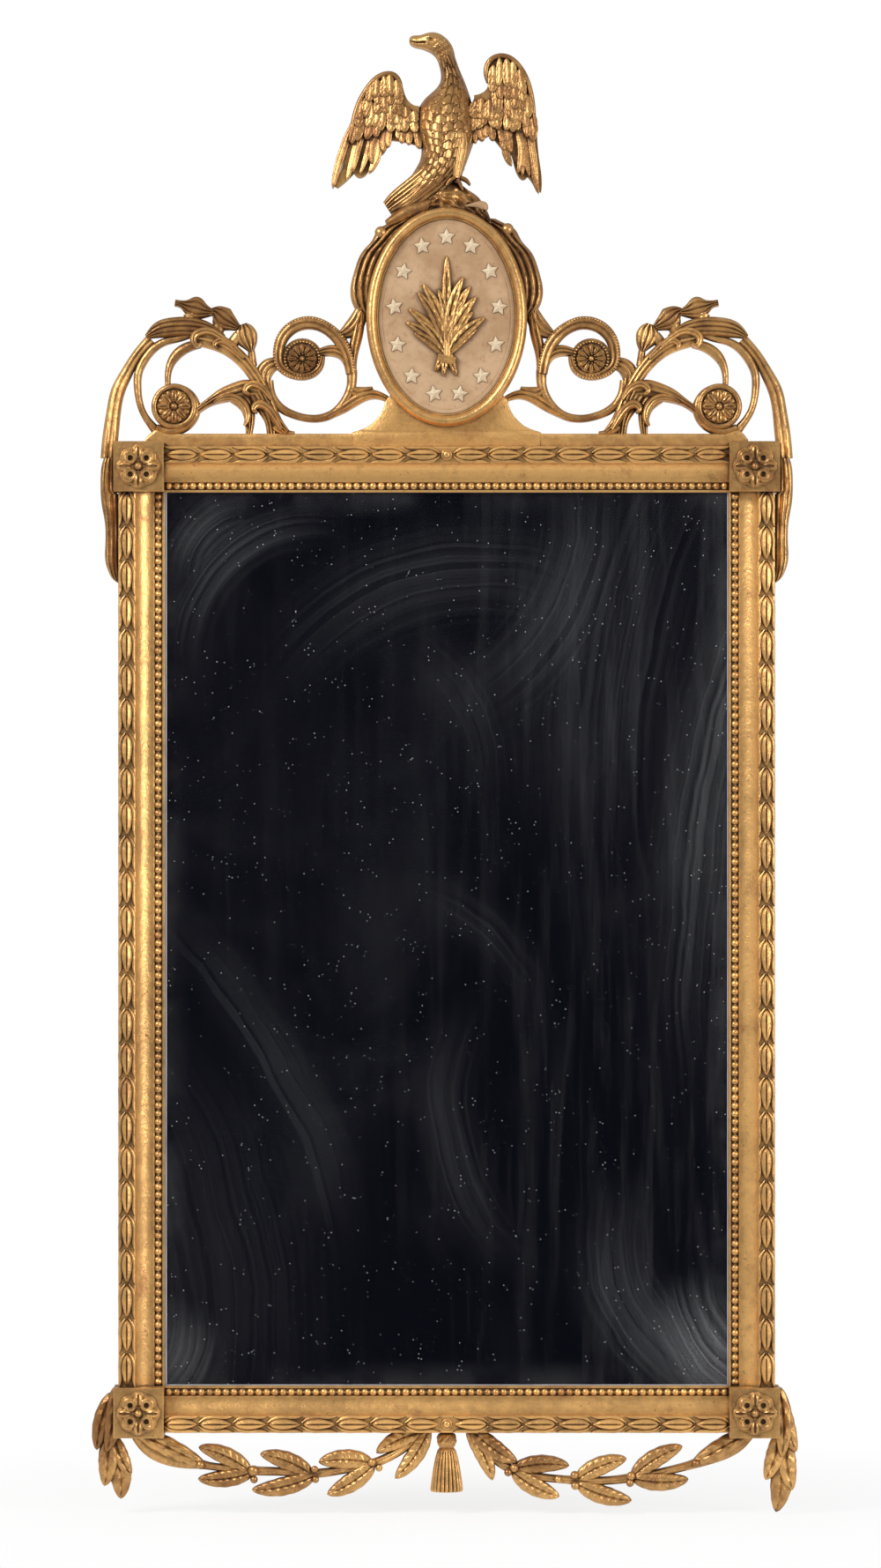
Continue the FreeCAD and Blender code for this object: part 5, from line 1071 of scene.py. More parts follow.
def bead_string(carving, side):
    """Even beads on a thread along a member."""
    half = MEMBERS[side]
    count = round(2 * half / BEAD_PITCH)
    along = -half + 2 * half / count * (np.arange(count) + 0.5)
    centres = on_member(side, BEAD_OFFSET, along, BEAD_DEPTH)
    girth = mm("bead_radius") * (1 + carving.random.normal(0, BEAD_SPREAD, count))
    carving.add(ball(5, 9) * girth[:, None, None, None] + centres[:, None, None])
    carving.add(bar(side, BEAD_OFFSET, -half, half, THREAD_HALF, THREAD_DEPTHS, dome), tone=-1)


class MIRROR_OT_beads(bpy.types.Operator):
    """Makes the bead strings beside the glass"""

    bl_idname = "federal_mirror.beads"
    bl_label = "Bead strings"

    def execute(self, context):
        for number, side in enumerate(MEMBERS):
            carving = Carving(20 + number, BEAD_TONE)
            bead_string(carving, side)
            carving.build("beads_" + side, "bead_strip_" + side, crease=60)
        return {"FINISHED"}


SEAT_MIDDLE = 33.5
BAR_HALF = 7.9
BAR_BACK, BAR_EDGE, BAR_FRONT = 26, 27, 28
BAR_TONE = -0.6
HUSK_START = 6.5
HUSKS_ON_STILE = 26
HUSKS_ON_HALF_RAIL = 8
STILE_HUSK_TONE = -1.0
HUSK_LENGTH, HUSK_HALF = 29.5, 5.3
HUSK_BACK, HUSK_EDGE = -0.5, 0.5
# How thick a husk is at its ends, and the half width from which it has its full height
HUSK_THIN, HUSK_FULL = 0.9, 3.2
# A husk's side petal: along, across and half width; and its height
PETAL_STOPS = [(0, 1.6, 0.6), (6, 5, 2), (15, 6.3, 1.7), (25, 6.1, 1.8), (32, 7.4, 0.4)]
PETAL_CROWN = 2.9
RAIL_BEAD_RADIUS = 5.2
THINNEST = 0.15


def slit_almond(t, v):
    """A dome with three long gouged lines that fade at the ends."""
    lines = bell(v, 0, 0.1) + 0.55 * bell(np.abs(v), 0.5, 0.1)
    return dome(t, v) * (1 - 0.3 * lines * np.clip(5 * t * (1 - t), 0, 1))


def flat_top(t, v):
    """A flat face with eased edges: 1 less a high power of v."""
    return np.clip(1 - np.abs(v) ** 14, 0, 1) + 0 * t


def ringed_bead(x, y):
    """A low boss with a ring-shaped groove."""
    return BAR_FRONT + boss(x, y, 5.3, 4.4) - 1.1 * bell(np.hypot(x, y), 3.4, 0.5)


def husk_skins():
    """One husk along its own axis: an almond with gouged lines between two petals that flare at the tip."""
    t = np.linspace(0, 1, 20)
    line = np.stack((1 + HUSK_LENGTH * t, 0 * t), 1)
    half = np.maximum(HUSK_HALF * np.sin(math.pi * t**0.85) ** 0.7, THINNEST)
    crown = HUSK_THIN + (mm("husk_relief") - HUSK_THIN) * np.clip(half / HUSK_FULL, 0, 1)
    skins = [sweep(line, half, HUSK_BACK, HUSK_EDGE, crown, slit_almond, 17)]
    for sign in SIDES.values():
        rows = smooth(np.array(PETAL_STOPS) * (1, sign, 1), 18)
        half = np.maximum(rows[:, 2], THINNEST)
        skins.append(sweep(rows[:, :2], half, HUSK_BACK, HUSK_EDGE, PETAL_CROWN, dome, 9))
    return skins


def husk_chain(carving, side, starts, way):
    """Husks copied from their starting places along a member, each running one way from there."""
    for skin in husk_skins():
        along, depth, across = np.moveaxis(skin[None], -1, 0)
        along = starts[:, None, None] + way * along
        carving.add(on_member(side, SEAT_MIDDLE + across, along, BAR_FRONT + depth))


def husk_bar(carving, side, low, high):
    """The flat bar under a chain."""
    depths = (BAR_BACK, BAR_EDGE, BAR_FRONT)
    carving.add(bar(side, SEAT_MIDDLE, low, high, BAR_HALF, depths, flat_top, across=15, rows=60), tone=BAR_TONE)


class MIRROR_OT_husks(bpy.types.Operator):
    """Makes the husk chains on the stiles and rails and the beads between them"""

    bl_idname = "federal_mirror.husks"
    bl_label = "Husk chains"

    def execute(self, context):
        steps = 2 * SIGHT_HIGH / HUSKS_ON_STILE * np.arange(HUSKS_ON_STILE)
        for number, side in enumerate(SIDES):
            carving = Carving(40 + number, STILE_HUSK_TONE)
            husk_chain(carving, side, SIGHT_HIGH - steps, -1)
            husk_bar(carving, side, -SIGHT_HIGH, SIGHT_HIGH)
            carving.build("husks_" + side, "husk_strip_" + side)
        steps = (SIGHT_WIDE - HUSK_START) / HUSKS_ON_HALF_RAIL * np.arange(HUSKS_ON_HALF_RAIL)
        for rail in ROWS:
            for number, (side, out) in enumerate(SIDES.items()):
                carving = Carving(50 + number)
                if rail == "top":
                    husk_chain(carving, rail, out * (HUSK_START + steps), out)
                else:
                    husk_chain(carving, rail, out * (SIGHT_WIDE - steps), -out)
                husk_bar(carving, rail, *sorted((out * HUSK_START, out * SIGHT_WIDE)))
                carving.build(f"husks_{rail}_{side}", f"husk_strip_{rail}_{side}")
        carving = Carving(60)
        for rail, up in ROWS.items():
            husk_bar(carving, rail, -HUSK_START, HUSK_START)
            centre = (0, up * (SIGHT_HIGH + SEAT_MIDDLE))
            carving.add(polar(centre, RAIL_BEAD_RADIUS, BAR_BACK, ringed_bead, rings=24, spokes=40))
        carving.build("husk_beads", "husk_centre_beads")
        return {"FINISHED"}


# Rosettes


def lobes(x, y, count, turn, distance, long, wide, height):
    """Half ellipsoids spaced evenly round a middle at a distance from it, and 0 between them."""
    step = FULL_TURN / count
    radius = np.hypot(x, y)
    near = (np.arctan2(y, x) - turn + step / 2) % step - step / 2
    u = (radius * np.cos(near) - distance) / long
    w = radius * np.sin(near) / wide
    return height * np.sqrt(np.clip(1 - u * u - w * w, 0, 1))


def boss(x, y, radius, height):
    """A half ellipsoid in the middle."""
    return height * np.sqrt(np.clip(1 - (x * x + y * y) / radius**2, 0, 1))


def highest(ground, *reliefs):
    """The highest of some reliefs and a level ground."""
    return np.maximum(np.maximum.reduce(reliefs), ground)


def corner_relief(x, y):
    """Four cups with drilled hearts on the diagonals, four creased leaves on the axes, and a boss."""
    diagonal = math.pi / 4
    cups = lobes(x, y, 4, diagonal, 11.6, 8, 7.2, 6.4) - lobes(x, y, 4, diagonal, 10.8, 5.4, 4.8, 3)
    hearts = lobes(x, y, 4, diagonal, 10.4, 2.4, 2.3, 7)
    leaves = lobes(x, y, 4, 0, 13, 7, 5, 5.8) - lobes(x, y, 4, 0, 12.4, 5.6, 1.1, 2.2)
    near = lobes(x, y, 8, diagonal / 2, 6.6, 3, 1.6, 3.2)
    return BLOCK_FACE + np.clip(highest(1.6, cups, leaves, near, boss(x, y, 4.1, 6.6)) - hearts, 0.1, 8)


def star_relief(x, y):
    """Eight bold petals with a ridge, eight small ones between them, and a boss in a dished heart."""
    petals = lobes(x, y, 8, 0, 9.4, 6.3, 3.7, 4.8) - lobes(x, y, 8, 0, 9.8, 4.6, 0.7, 1.4)
    between = lobes(x, y, 8, math.pi / 8, 12, 4.4, 2.6, 2.6)
    ring = 3.1 * bell(np.hypot(x, y), 5, 0.9)
    return CREST + highest(0.4, petals, between, ring, boss(x, y, 3.6, 4.6))


def daisy_relief(x, y):
    """Twelve narrow petals with creases, a ring of small beads and a boss."""
    petals = lobes(x, y, 12, 0, 8.8, 4.8, 2.3, 3.8) - lobes(x, y, 12, 0, 9, 3.8, 0.45, 0.9)
    dots = lobes(x, y, 9, 0, 4.2, 1.1, 1.1, 4)
    return CREST + highest(0.5, petals, dots, boss(x, y, 2.8, 5))


def scalloped(radius, count, cut):
    """A rim whose radius drops by a cut between count lobes."""

    def rim(angle):
        return radius - cut * (1 - np.abs(np.cos(count / 2 * angle)))

    return rim


# Depth of the crest's face, and of the ground in the scrolls' eyes
CREST = 14
EYE_GROUND = 12
RIM_BEAD_STEP = 2.7
RIM_BEAD_RADIUS = 1.25
EYE_BEADS = 34
EYE_BEAD_RING = 15.6
# Rosettes in the scrolls' eyes: relief and rim
EYE_ROSETTES = {
    "outer": (star_relief, scalloped(15.6, 8, 1.2)),
    "inner": (daisy_relief, scalloped(13.4, 12, 1.2)),
}


class MIRROR_OT_rosettes(bpy.types.Operator):
    """Makes the corner rosettes and the rosettes in the scrolls"""

    bl_idname = "federal_mirror.rosettes"
    bl_label = "Rosettes"

    def execute(self, context):
        for row, up in ROWS.items():
            for side, out in SIDES.items():
                carving = Carving(70)
                centre = np.array(BLOCK_MIDDLE) * (out, up)
                carving.add(polar(centre, scalloped(20, 8, 1.6), BLOCK_FACE, corner_relief, rings=70, spokes=176))
                place = f"{row}_{side}"
                carving.build("rosette_" + place, "corner_rosette_" + place, surface=TONED, crease=50)
        for name, (relief, rim) in EYE_ROSETTES.items():
            carving = Carving(75)
            for side in SIDES:
                centre = SCROLL_PLAN.on(side)(EYE_PIXELS[name][:2])
                carving.add(polar(centre, rim, EYE_GROUND, relief, rings=56, spokes=168))
                if name == "inner":
                    places = centre + EYE_BEAD_RING * circle(EYE_BEADS)
                    carving.add(beads(places, CREST, RIM_BEAD_RADIUS, rows=5, ring=9))
            carving.build(name + "_eyes", "scroll_rosettes_" + name, surface=TONED, crease=50)
        return {"FINISHED"}


# Crest

# The strip under a scroll: ends, top and foot in pixels, and its tone, which brightens toward the centre board
STRIP_ENDS = (160.5, 400)
STRIP_TOP, STRIP_FOOT = 491, 506.0
STRIP_ROWS = 60
STRIP_EASE = 1.2
STRIP_TONE = np.interp(np.linspace(0, 1, STRIP_ROWS), (0.6, 1), (1.4, 3.9))
# How far down the stems are gouged between their ribs, and how much wider they are than read
STEM_GROOVE = 0.46
STEM_FULLER = 1.08
# Small curls: back, and their depth as a share of the crest's
CURL_BACK, CURL_SHARE = 4, 1.42
# The rim round the outer eye: width in pixels, height over the crest, and rounding
EYE_RIM_WIDTH, EYE_RIM_RISE, EYE_RIM_ROUNDING = 6.4, 2.4, 3
# Where beads sit across the volute, as a share of its width from the middle, and how far they sink
RIM_BEAD_SHARE, RIM_BEAD_SINK = 0.37, 1.5


def eased_top(t, v):
    """A flat face whose upper side falls off as a square near its edge."""
    return 1 - np.clip(-v - 0.55, 0, 1) ** 2 * 4.5 + 0 * t


def base_strip(plan):
    """The flat strip along the rail under a scroll: its top falls at the outer end, past a bell-shaped rise."""
    x = np.linspace(*STRIP_ENDS, STRIP_ROWS)
    top = STRIP_TOP + 7 * np.exp((STRIP_ENDS[0] - x) / 3.5) - 6 * bell(x, 175, 7)
    upper, lower = (plan(np.stack((x, y), 1)) for y in (top, np.full(STRIP_ROWS, STRIP_FOOT)))
    return panel(upper, lower, 0, CREST - STRIP_EASE, CREST, eased_top, 13)


def eye_ground(x, y):
    """The level ground behind a rosette."""
    return EYE_GROUND + 0 * x


def rim_beads(plan):
    """Small beads at even steps along the outer side of the volute, away from its eye."""
    share, _, stops = SCROLL_STEMS["volute"]
    rows = smooth(stops[:-1], 900)
    line = plan(rows[:, :2])
    normal = normals(line)
    normal *= np.sign((normal * (line - plan(EYE_PIXELS["inner"][:2]))).sum(1))[:, None]
    line = line + normal * (plan.size(rows[:, 2]) * RIM_BEAD_SHARE)[:, None]
    run = np.concatenate(([0], np.cumsum(np.hypot(*np.diff(line, axis=0).T))))
    at = np.arange(RIM_BEAD_STEP, run[-1], RIM_BEAD_STEP)
    centres = np.stack([np.interp(at, run, column) for column in line.T], 1)
    return beads(centres, CREST * share - RIM_BEAD_SINK, RIM_BEAD_RADIUS, rows=4, ring=8)


class MIRROR_OT_scrolls(bpy.types.Operator):
    """Carves the two pierced scrolls"""

    bl_idname = "federal_mirror.scrolls"
    bl_label = "Scrolls"

    def execute(self, context):
        for side in SIDES:
            plan = SCROLL_PLAN.on(side)
            carving = Carving(80)
            carving.add(base_strip(plan), tone=STRIP_TONE)
            for share, ribs, stops in SCROLL_STEMS.values():
                rise, across = (ribbed(ribs, STEM_GROOVE), 6 * ribs + 5) if ribs else (dome, 13)
                carving.add(stem(plan, stops, 0, CREST * share, rise, across=across, fuller=STEM_FULLER))
            for stops in CURL_PIXELS:
                carving.add(stem(plan, stops, CURL_BACK, CREST * CURL_SHARE, ribbed(2, 0.4), across=15, per_stop=9))
            x, y, radius = EYE_PIXELS["outer"]
            rim = np.insert((x, y) + radius * circle(25, closed=True), 2, EYE_RIM_WIDTH, axis=1)
            carving.add(stem(plan, rim, 0, CREST + EYE_RIM_RISE, dome, EYE_RIM_ROUNDING, per_stop=5))
            for x, y, radius in EYE_PIXELS.values():
                carving.add(polar(plan((x, y)), plan.size(radius), 0, eye_ground, rings=6, spokes=60), tone=-1)
            carving.add(rim_beads(plan))
            carving.build("scroll_" + side, "crest_scroll_" + side, surface=TONED, crease=45)
        return {"FINISHED"}


# The foot lies a little under the strips beside it
FOOT_FRONT = CREST - 0.35
FOOT_TONE = 2.6
# How far the leaves beside the oval run in over its edge, their depths at edge and base, and how they swell
LEAF_OVERLAP = 4
LEAF_EDGE, LEAF_BASE, LEAF_SWELL = 10.5, 12, 6.2
KNOB_DEPTH = 13


def board_foot():
    """The shouldered foot under the oval, the same on both sides."""
    half = SHOULDER_PLAN(FOOT_PIXELS)
    outline = np.concatenate((half, half[::-1] * (-1, 1)))
    return slab(outline, SHOULDER_PLAN(FOOT_CENTRE_PIXEL), 0, FOOT_FRONT, bevel=1.2)


def ellipse(inset, count):
    """An oval inside the medallion's outline by an inset."""
    return (0, OVAL_MIDDLE) + circle(count) * (OVAL_WIDE - inset, OVAL_TALL - inset)


def arch(value, half):
    """The height of a half circle of radius 1 at a share of its half width."""
    return np.sqrt(1 - np.clip(value / half, -1, 1) ** 2)


def twisted_flutes(t, v):
    """A dome with three gouged lines that wander across as a sine of t."""
    turned = np.clip(v + 0.35 * np.sin(5 * t - 1) * (1 - v * v), -1, 1)
    return dome(t, v) * (1 - 0.55 * np.cos(1.5 * math.pi * (turned + 1)) ** 4)


def oval_leaf(plan):
    """The fluted leaf beside the oval: between its own outline and a line just inside the oval."""
    outer = plan(smooth(OVAL_LEAF_PIXELS, 60))
    across, height = outer.T
    edge = OVAL_WIDE * arch(height - OVAL_MIDDLE, OVAL_TALL)
    inner = np.stack((np.sign(across) * (edge - LEAF_OVERLAP), height), 1)
    swell = np.sin(math.pi * np.linspace(0.06, 1, 60)) ** 0.5
    return panel(outer, inner, 0, LEAF_EDGE, LEAF_BASE + LEAF_SWELL * swell, twisted_flutes, 35)


class MIRROR_OT_centre_board(bpy.types.Operator):
    """Carves the centre board with its foot and the leaves beside the oval"""

    bl_idname = "federal_mirror.centre_board"
    bl_label = "Centre board"

    def execute(self, context):
        carving = Carving(90)
        carving.add(board_foot(), tone=FOOT_TONE)
        carving.add(slab(ellipse(2, 160), np.array((0, OVAL_MIDDLE)), 0, CREST, bevel=0.6), tone=-1)
        carving.build("centre_board", "crest_board", crease=45)
        carving = Carving(91)
        for side in SIDES:
            carving.add(oval_leaf(OVAL_PLAN.on(side)), tone=-0.8)
        for x, y, radius in KNOB_PIXELS:
            carving.add(beads(OVAL_PLAN([(x, y)]), KNOB_DEPTH, OVAL_PLAN.size(radius), rows=10, ring=24))
        carving.build("oval_leaves", surface=TONED, crease=45)
        return {"FINISHED"}


# Medallion

# The oval moulding's outline: inset from the oval's edge, and depth
RING_OUTLINE = [
    (0, 14), (0, 19), (0.35, 21.3), (1.1, 23.3), (2.2, 24.9), (3.5, 25.8), (4.8, 26), (6.2, 25.6), (7.5, 24.7),
    (8.6, 23.3), (9.2, 21.8), (9.4, 20.9), (9.9, 21.1), (10.5, 21), (10.9, 20.5), (11, 19.6), (11, 14),
]
RING_TONE = -1.4
PANEL_INSET = 11.3
PANEL_FRONT = 19
HAIRLINE_INSET = 15
HAIRLINE = 0.45
STAR_COUNT = 13
STAR_RADIUS = 8.1
STAR_WAIST = 0.5
STAR_RIDGE = 0.55
STAR_ORBIT = (47.85, 72.3)
STAR_LEAN = 0.2
# Rings of a star: share of its size, height over the panel, and how far the waists sink
STAR_RINGS = [(1, -0.5, 0), (1, 0.8, 0), (0.93, 1.2, 0.3), (0.05, 3.0, 0)]
# Where a leaf of the sheaf leaves the stalk, as a share of the way down, and how far out
SHEAF_BRANCH, SHEAF_SPREAD = 0.74, 0.08
SHEAF_BACK = PANEL_FRONT - 1


def oval_rim(angle):
    """The radius of the medallion panel's oval at an angle."""
    wide, tall = OVAL_WIDE - PANEL_INSET, OVAL_TALL - PANEL_INSET
    return wide * tall / np.hypot(tall * np.cos(angle), wide * np.sin(angle))


def panel_relief(x, y):
    """A flat panel with a fine line scribed round it, inside its edge."""
    wide, tall = OVAL_WIDE - HAIRLINE_INSET, OVAL_TALL - HAIRLINE_INSET
    off = (np.hypot(x / wide, y / tall) - 1) * (wide + tall) / 2
    return PANEL_FRONT - HAIRLINE * bell(off, 0, HAIRLINE)


def star_skins():
    """Stars: rings of ten corners, point and waist by turns, that rise to a peak with ridges to the points."""
    number = np.arange(STAR_COUNT)
    turn = FULL_TURN * number / STAR_COUNT
    middle = np.stack((STAR_ORBIT[0] * np.sin(turn), OVAL_MIDDLE + STAR_ORBIT[1] * np.cos(turn)), 1)
    corner = np.arange(10)
    radius = np.where(corner % 2, STAR_WAIST, 1) * STAR_RADIUS
    angle = math.pi * corner / 5 + STAR_LEAN * np.sin(2.4 * number)[:, None]
    plan = np.stack((radius * np.sin(angle), radius * np.cos(angle)), -1)
    sunk = np.where(corner % 2, 1 - STAR_RIDGE, 0)
    rings = []
    for share, rise, fold in STAR_RINGS:
        flat = middle[:, None] + plan * share
        rings.append(np.insert(flat, 1, PANEL_FRONT + rise * (1 - fold * sunk), axis=2))
    return np.stack(rings, 1)


def sheaf(carving):
    """Leaves up a stalk, in three layers by turns, with a tie and three stem ends below it."""
    middle, foot = SHEAF_BASE_PIXEL
    for number, (x, y, width) in enumerate(SHEAF_LEAF_PIXELS):
        layer = number % 3
        base = (middle + SHEAF_SPREAD * (x - middle), y + SHEAF_BRANCH * (foot - y))
        edge, crown = PANEL_FRONT + 1 + 0.5 * layer, PANEL_FRONT + 4.2 + 0.7 * layer
        bend = 0.07 * np.sign(x - middle)
        grid = leaf(SHEAF_PLAN, base, (x, y), width, SHEAF_BACK, edge, crown, veined(6, 0.5, 0.1), bend)
        carving.add(grid, tone=0.5 * (number % 2))
    twine = dict(rise=ribbed(2, 0.4), rounding=2.4, across=13, per_stop=10)
    carving.add(stem(SHEAF_PLAN, SHEAF_STALK_PIXELS, SHEAF_BACK, crown=PANEL_FRONT + 4.6, **twine))
    for tip in SHEAF_STEM_PIXELS:
        depths = (SHEAF_BACK, PANEL_FRONT + 1.4, PANEL_FRONT + 4.2)
        carving.add(leaf(SHEAF_PLAN, SHEAF_STEM_START_PIXEL, tip, SHEAF_STEM_WIDTH_PIXELS, *depths, veined(4, 0.4)))
    carving.add(stem(SHEAF_PLAN, SHEAF_TIE_PIXELS, SHEAF_BACK, crown=PANEL_FRONT + 5, **twine))


class MIRROR_OT_medallion(bpy.types.Operator):
    """Makes the oval moulding, the painted panel, the stars and the leaf sheaf"""

    bl_idname = "federal_mirror.medallion"
    bl_label = "Medallion"

    def execute(self, context):
        carving = Carving(100)
        rings = [np.insert(ellipse(inset, 220), 1, depth, axis=1) for inset, depth in RING_OUTLINE]
        carving.add(np.stack(rings, 1), tone=RING_TONE, loop=True)
        carving.build("oval_moulding", "oval_frame", crease=40)
        carving = Carving(101)
        carving.add(polar((0, OVAL_MIDDLE), oval_rim, CREST, panel_relief, rings=90, spokes=150), tone=0)
        carving.build("ivory_panel", "medallion_panel", surface="ivory_paint", slot="ivory_paint")
        carving = Carving(102)
        carving.add(star_skins())
        carving.build("stars", "medallion_stars", surface="star_paint", slot="ivory_paint", crease=12)
        carving = Carving(103)
        sheaf(carving)
        carving.build("leaf_sheaf", "medallion_sheaf", surface=TONED)
        return {"FINISHED"}


# Eagle

SCALE_ROWS = 21
SCALE_COLUMNS = 8
TRUNK_TONE = -1.1
# The eye: x, y and radius in pixels, and depth
EAGLE_EYE = (486.6, 43.6, 1.7, 18.6)
# Along the head: where, and the depths of its edge and crown there
HEAD_EDGE = ((0, 0.4, 0.8, 1), (10, 9, 5, -2))
HEAD_CROWN = ((0, 0.12, 0.4, 0.7, 1), (12.5, 17, 21.5, 22.5, 10))
# Tail, thigh, shoulders and talons: stops, back, crown, face, rounding, points across and for each stop; and tone
EAGLE_STEMS = [
    ((TAIL_STOPS, 2, np.linspace(25, 11, 72), ribbed(8, 0.3), 7, 57, 12), 0),
    ((THIGH_STOPS, 8, 25.5, ribbed(4, 0.14), 9, 29, 12), 0),
    *(((stops, 3, 13.5, dome, 6, 15, 10), -0.6) for stops in SHOULDERS),
    *(((stops, 10, 25.5, dome, 2.4, 11, 7), -2) for stops in TALONS),
]
# Feathers: width in pixels, edge and crown depths, and barbs
FEATHER_LAYERS = {"primary": (8.8, 10.8, 12.9, 11), "covert": (10.8, 12.4, 14.2, 4)}
FEATHER_BACK = 6
FEATHER_TONE = -0.9
# How far feathers stray: their tips across, their place along, their bend, their girth and their tone
FEATHER_SPREADS = (1.4, 2.4, 0.06, 0.12, 0.8)
# How much higher a feather lies for each pixel that its tip is up the wing, and how far its tip stands off
FEATHER_LIFT, FEATHER_TIP = 0.042, 1.6
# How far the topmost feathers run up under the wing's edge
SHOULDER_REACH = 5
# The roll along a wing's edge: width in pixels, and at its ends
ROLL_WIDTH, ROLL_END = 5.8, 2


def wing_rows(side):
    """Rows of feathers from the long ones up.

    Between each two rows of coverts lies one half a step along, from the averages of both rows and neighbours.
    """
    primary, *coverts = (np.array(row) for row in WING_FEATHER_PIXELS[side].values())
    rows = [("primary", primary)]
    for lower, upper in zip(coverts, coverts[1:]):
        count = min(len(lower), len(upper))
        halfway = (lower[:count] + upper[:count]) / 2
        rows += [("covert", lower), ("covert", (halfway[1:] + halfway[:-1]) / 2)]
    return rows + [("covert", coverts[-1] - (0, SHOULDER_REACH, 0, 0))]


def scaly(crown):
    """A half-round face stepped into rows of scales, which fade at the neck and toward the tail.

    A scale's step grows along the spine and falls back where the row number, bowed by the square of the
    distance from the scale's middle, passes a whole number; each second row is shifted by half a scale.
    """

    def rise(t, v):
        turn = np.arcsin(np.clip(v, -1, 1)) / math.pi
        row = t**1.2 * SCALE_ROWS + 0.22 * np.sin(17 * turn + 9 * t)
        number = np.floor(row)
        across = turn * SCALE_COLUMNS + 0.2 * np.sin(3.7 * number)
        off = 2 * np.abs((across + 0.5 * (number % 2)) % 1 - 0.5)
        step = (row - 0.5 * off**2) % 1
        scale = step + 0.25 * bell(off, 0, 0.12) - 0.6 * bell(off, 1, 0.16)
        relief = mm("feather_relief") / crown[:, None] * scale * ramp(t, 0.8, 0.7) * ramp(t, 0, 0.06)
        return dome(t, v) * (0.95 + relief) + 0.02 * np.sin(26 * v) * ramp(t, 0.72, 0.82)

    return rise


def trunk():
    """Neck, breast and rump on a spine, with half-round scaly sections."""
    rows = smooth(TRUNK_STOPS, 260)
    half = np.maximum(EAGLE_PLAN.size(rows[:, 2]), 0.5)
    crown = rows[:, 3]
    return sweep(EAGLE_PLAN(rows[:, :2]), half, 0, 0.4, crown, scaly(crown), 91)


def head_face(t, v):
    """A dome with a sunk mouth line, a brow over an eye socket, and down on the neck from crossed sines."""
    mouth = bell(v, 0.3, 0.1) * ramp(t, 0.42, 0.34)
    brow = bell(v, -0.38, 0.13) * bell(t, 0.43, 0.12)
    socket = bell(v, -0.12, 0.13) * bell(t, 0.45, 0.06)
    down = ramp(t, 0.48, 0.68) * np.sin(60 * t + 14 * v) * np.sin(11 * v)
    return dome(t, v) ** 0.8 - 0.3 * mouth + 0.1 * brow - 0.18 * socket + 0.07 * down


def head():
    """The head between its two outlines."""
    upper, lower = (EAGLE_PLAN(smooth(line, 90)) for line in (HEAD_UPPER, HEAD_LOWER))
    edge, crown = (np.interp(np.linspace(0, 1, 90), *stops) for stops in (HEAD_EDGE, HEAD_CROWN))
    return panel(upper, lower, 4, edge, crown, head_face, 41)


def rocky(t, v):
    """A mound that falls off as a square from a line below its middle, with bumps of three crossed sines."""
    bumps = np.sin(23 * t + 3 * v) * np.cos(7 * v - 13 * t) + 0.7 * np.sin(41 * t - 9 * v)
    return np.clip(1 - ((1 + v) / 2 - 0.62) ** 2 * 1.7, 0, 1) * (0.8 + 0.13 * bumps) - 0.1 * (v < -0.98)


def perch():
    """A rocky mound on the oval: between its outline and the oval's edge."""
    upper = EAGLE_PLAN(smooth(PERCH_PIXELS, 70))
    x = upper[:, 0]
    lower = np.stack((x, OVAL_MIDDLE + (OVAL_TALL - 1) * arch(x, OVAL_WIDE)), 1)
    return panel(upper, lower, back=0, edge=9, crown=25, rise=rocky, across=31)


def wing(carving, side):
    """Feathers that stray a little from their places, lapped up the wing, and a roll along its edge."""
    lowest = WING_FEATHER_PIXELS[side]["primary"][0][3]
    for layer, feathers in wing_rows(side):
        width, edge, crown, barbs = FEATHER_LAYERS[layer]
        for x, y, tip_x, tip_y in feathers:
            lean, slip, sway, girth, tone = carving.random.normal(0, FEATHER_SPREADS)
            base, tip = (x, y + slip), (tip_x + lean, tip_y + slip)
            lift = FEATHER_LIFT * (lowest - tip[1])
            depths = (FEATHER_BACK, edge + lift, crown + lift)
            shape = dict(rise=barbed(barbs), bend=sway, lift=FEATHER_TIP, shape=tongue, count=26)
            carving.add(leaf(EAGLE_PLAN, base, tip, width * (1 + girth), *depths, **shape), tone=tone + FEATHER_TONE)
    roll = np.insert(np.array(WING_ROLL_PIXELS[side]), 2, ROLL_WIDTH, axis=1)
    roll[[0, -1], 2] = ROLL_END
    carving.add(stem(EAGLE_PLAN, roll, back=4, crown=17.8, rounding=3.6, across=13, per_stop=10), tone=-1.4)


class MIRROR_OT_eagle(bpy.types.Operator):
    """Carves the eagle's body, its feathers and its perch"""

    bl_idname = "federal_mirror.eagle"
    bl_label = "Eagle"

    def execute(self, context):
        plan = EAGLE_PLAN
        carving = Carving(110)
        carving.add(trunk(), tone=TRUNK_TONE)
        carving.add(head(), tone=0)
        x, y, radius, depth = EAGLE_EYE
        carving.add(beads(plan([(x, y)]), depth, plan.size(radius), rows=8, ring=16), tone=-2)
        for shape, tone in EAGLE_STEMS:
            carving.add(stem(plan, *shape), tone=tone)
        carving.build("eagle_carving", "eagle_body", surface=TONED, crease=40)
        carving = Carving(111)
        carving.add(perch(), tone=-0.5)
        carving.add(stem(plan, ROCK_STOPS, back=0, crown=17, rounding=6, across=19, per_stop=10), tone=-2)
        carving.build("rocky_perch", "eagle_perch", surface=TONED, crease=40)
        carving = Carving(113)
        carving.add(stem(plan, CHIP_STOPS, back=12, crown=25.4, rounding=2.5, across=13, per_stop=10))
        carving.build("bare_ground", surface="ivory_paint", slot="ivory_paint")
        for side in SIDES:
            carving = Carving(112)
            wing(carving, side)
            carving.build("wing_feathers_" + side, surface=TONED, crease=45)
        return {"FINISHED"}


# Drops and garlands

DROP_BACK = 6
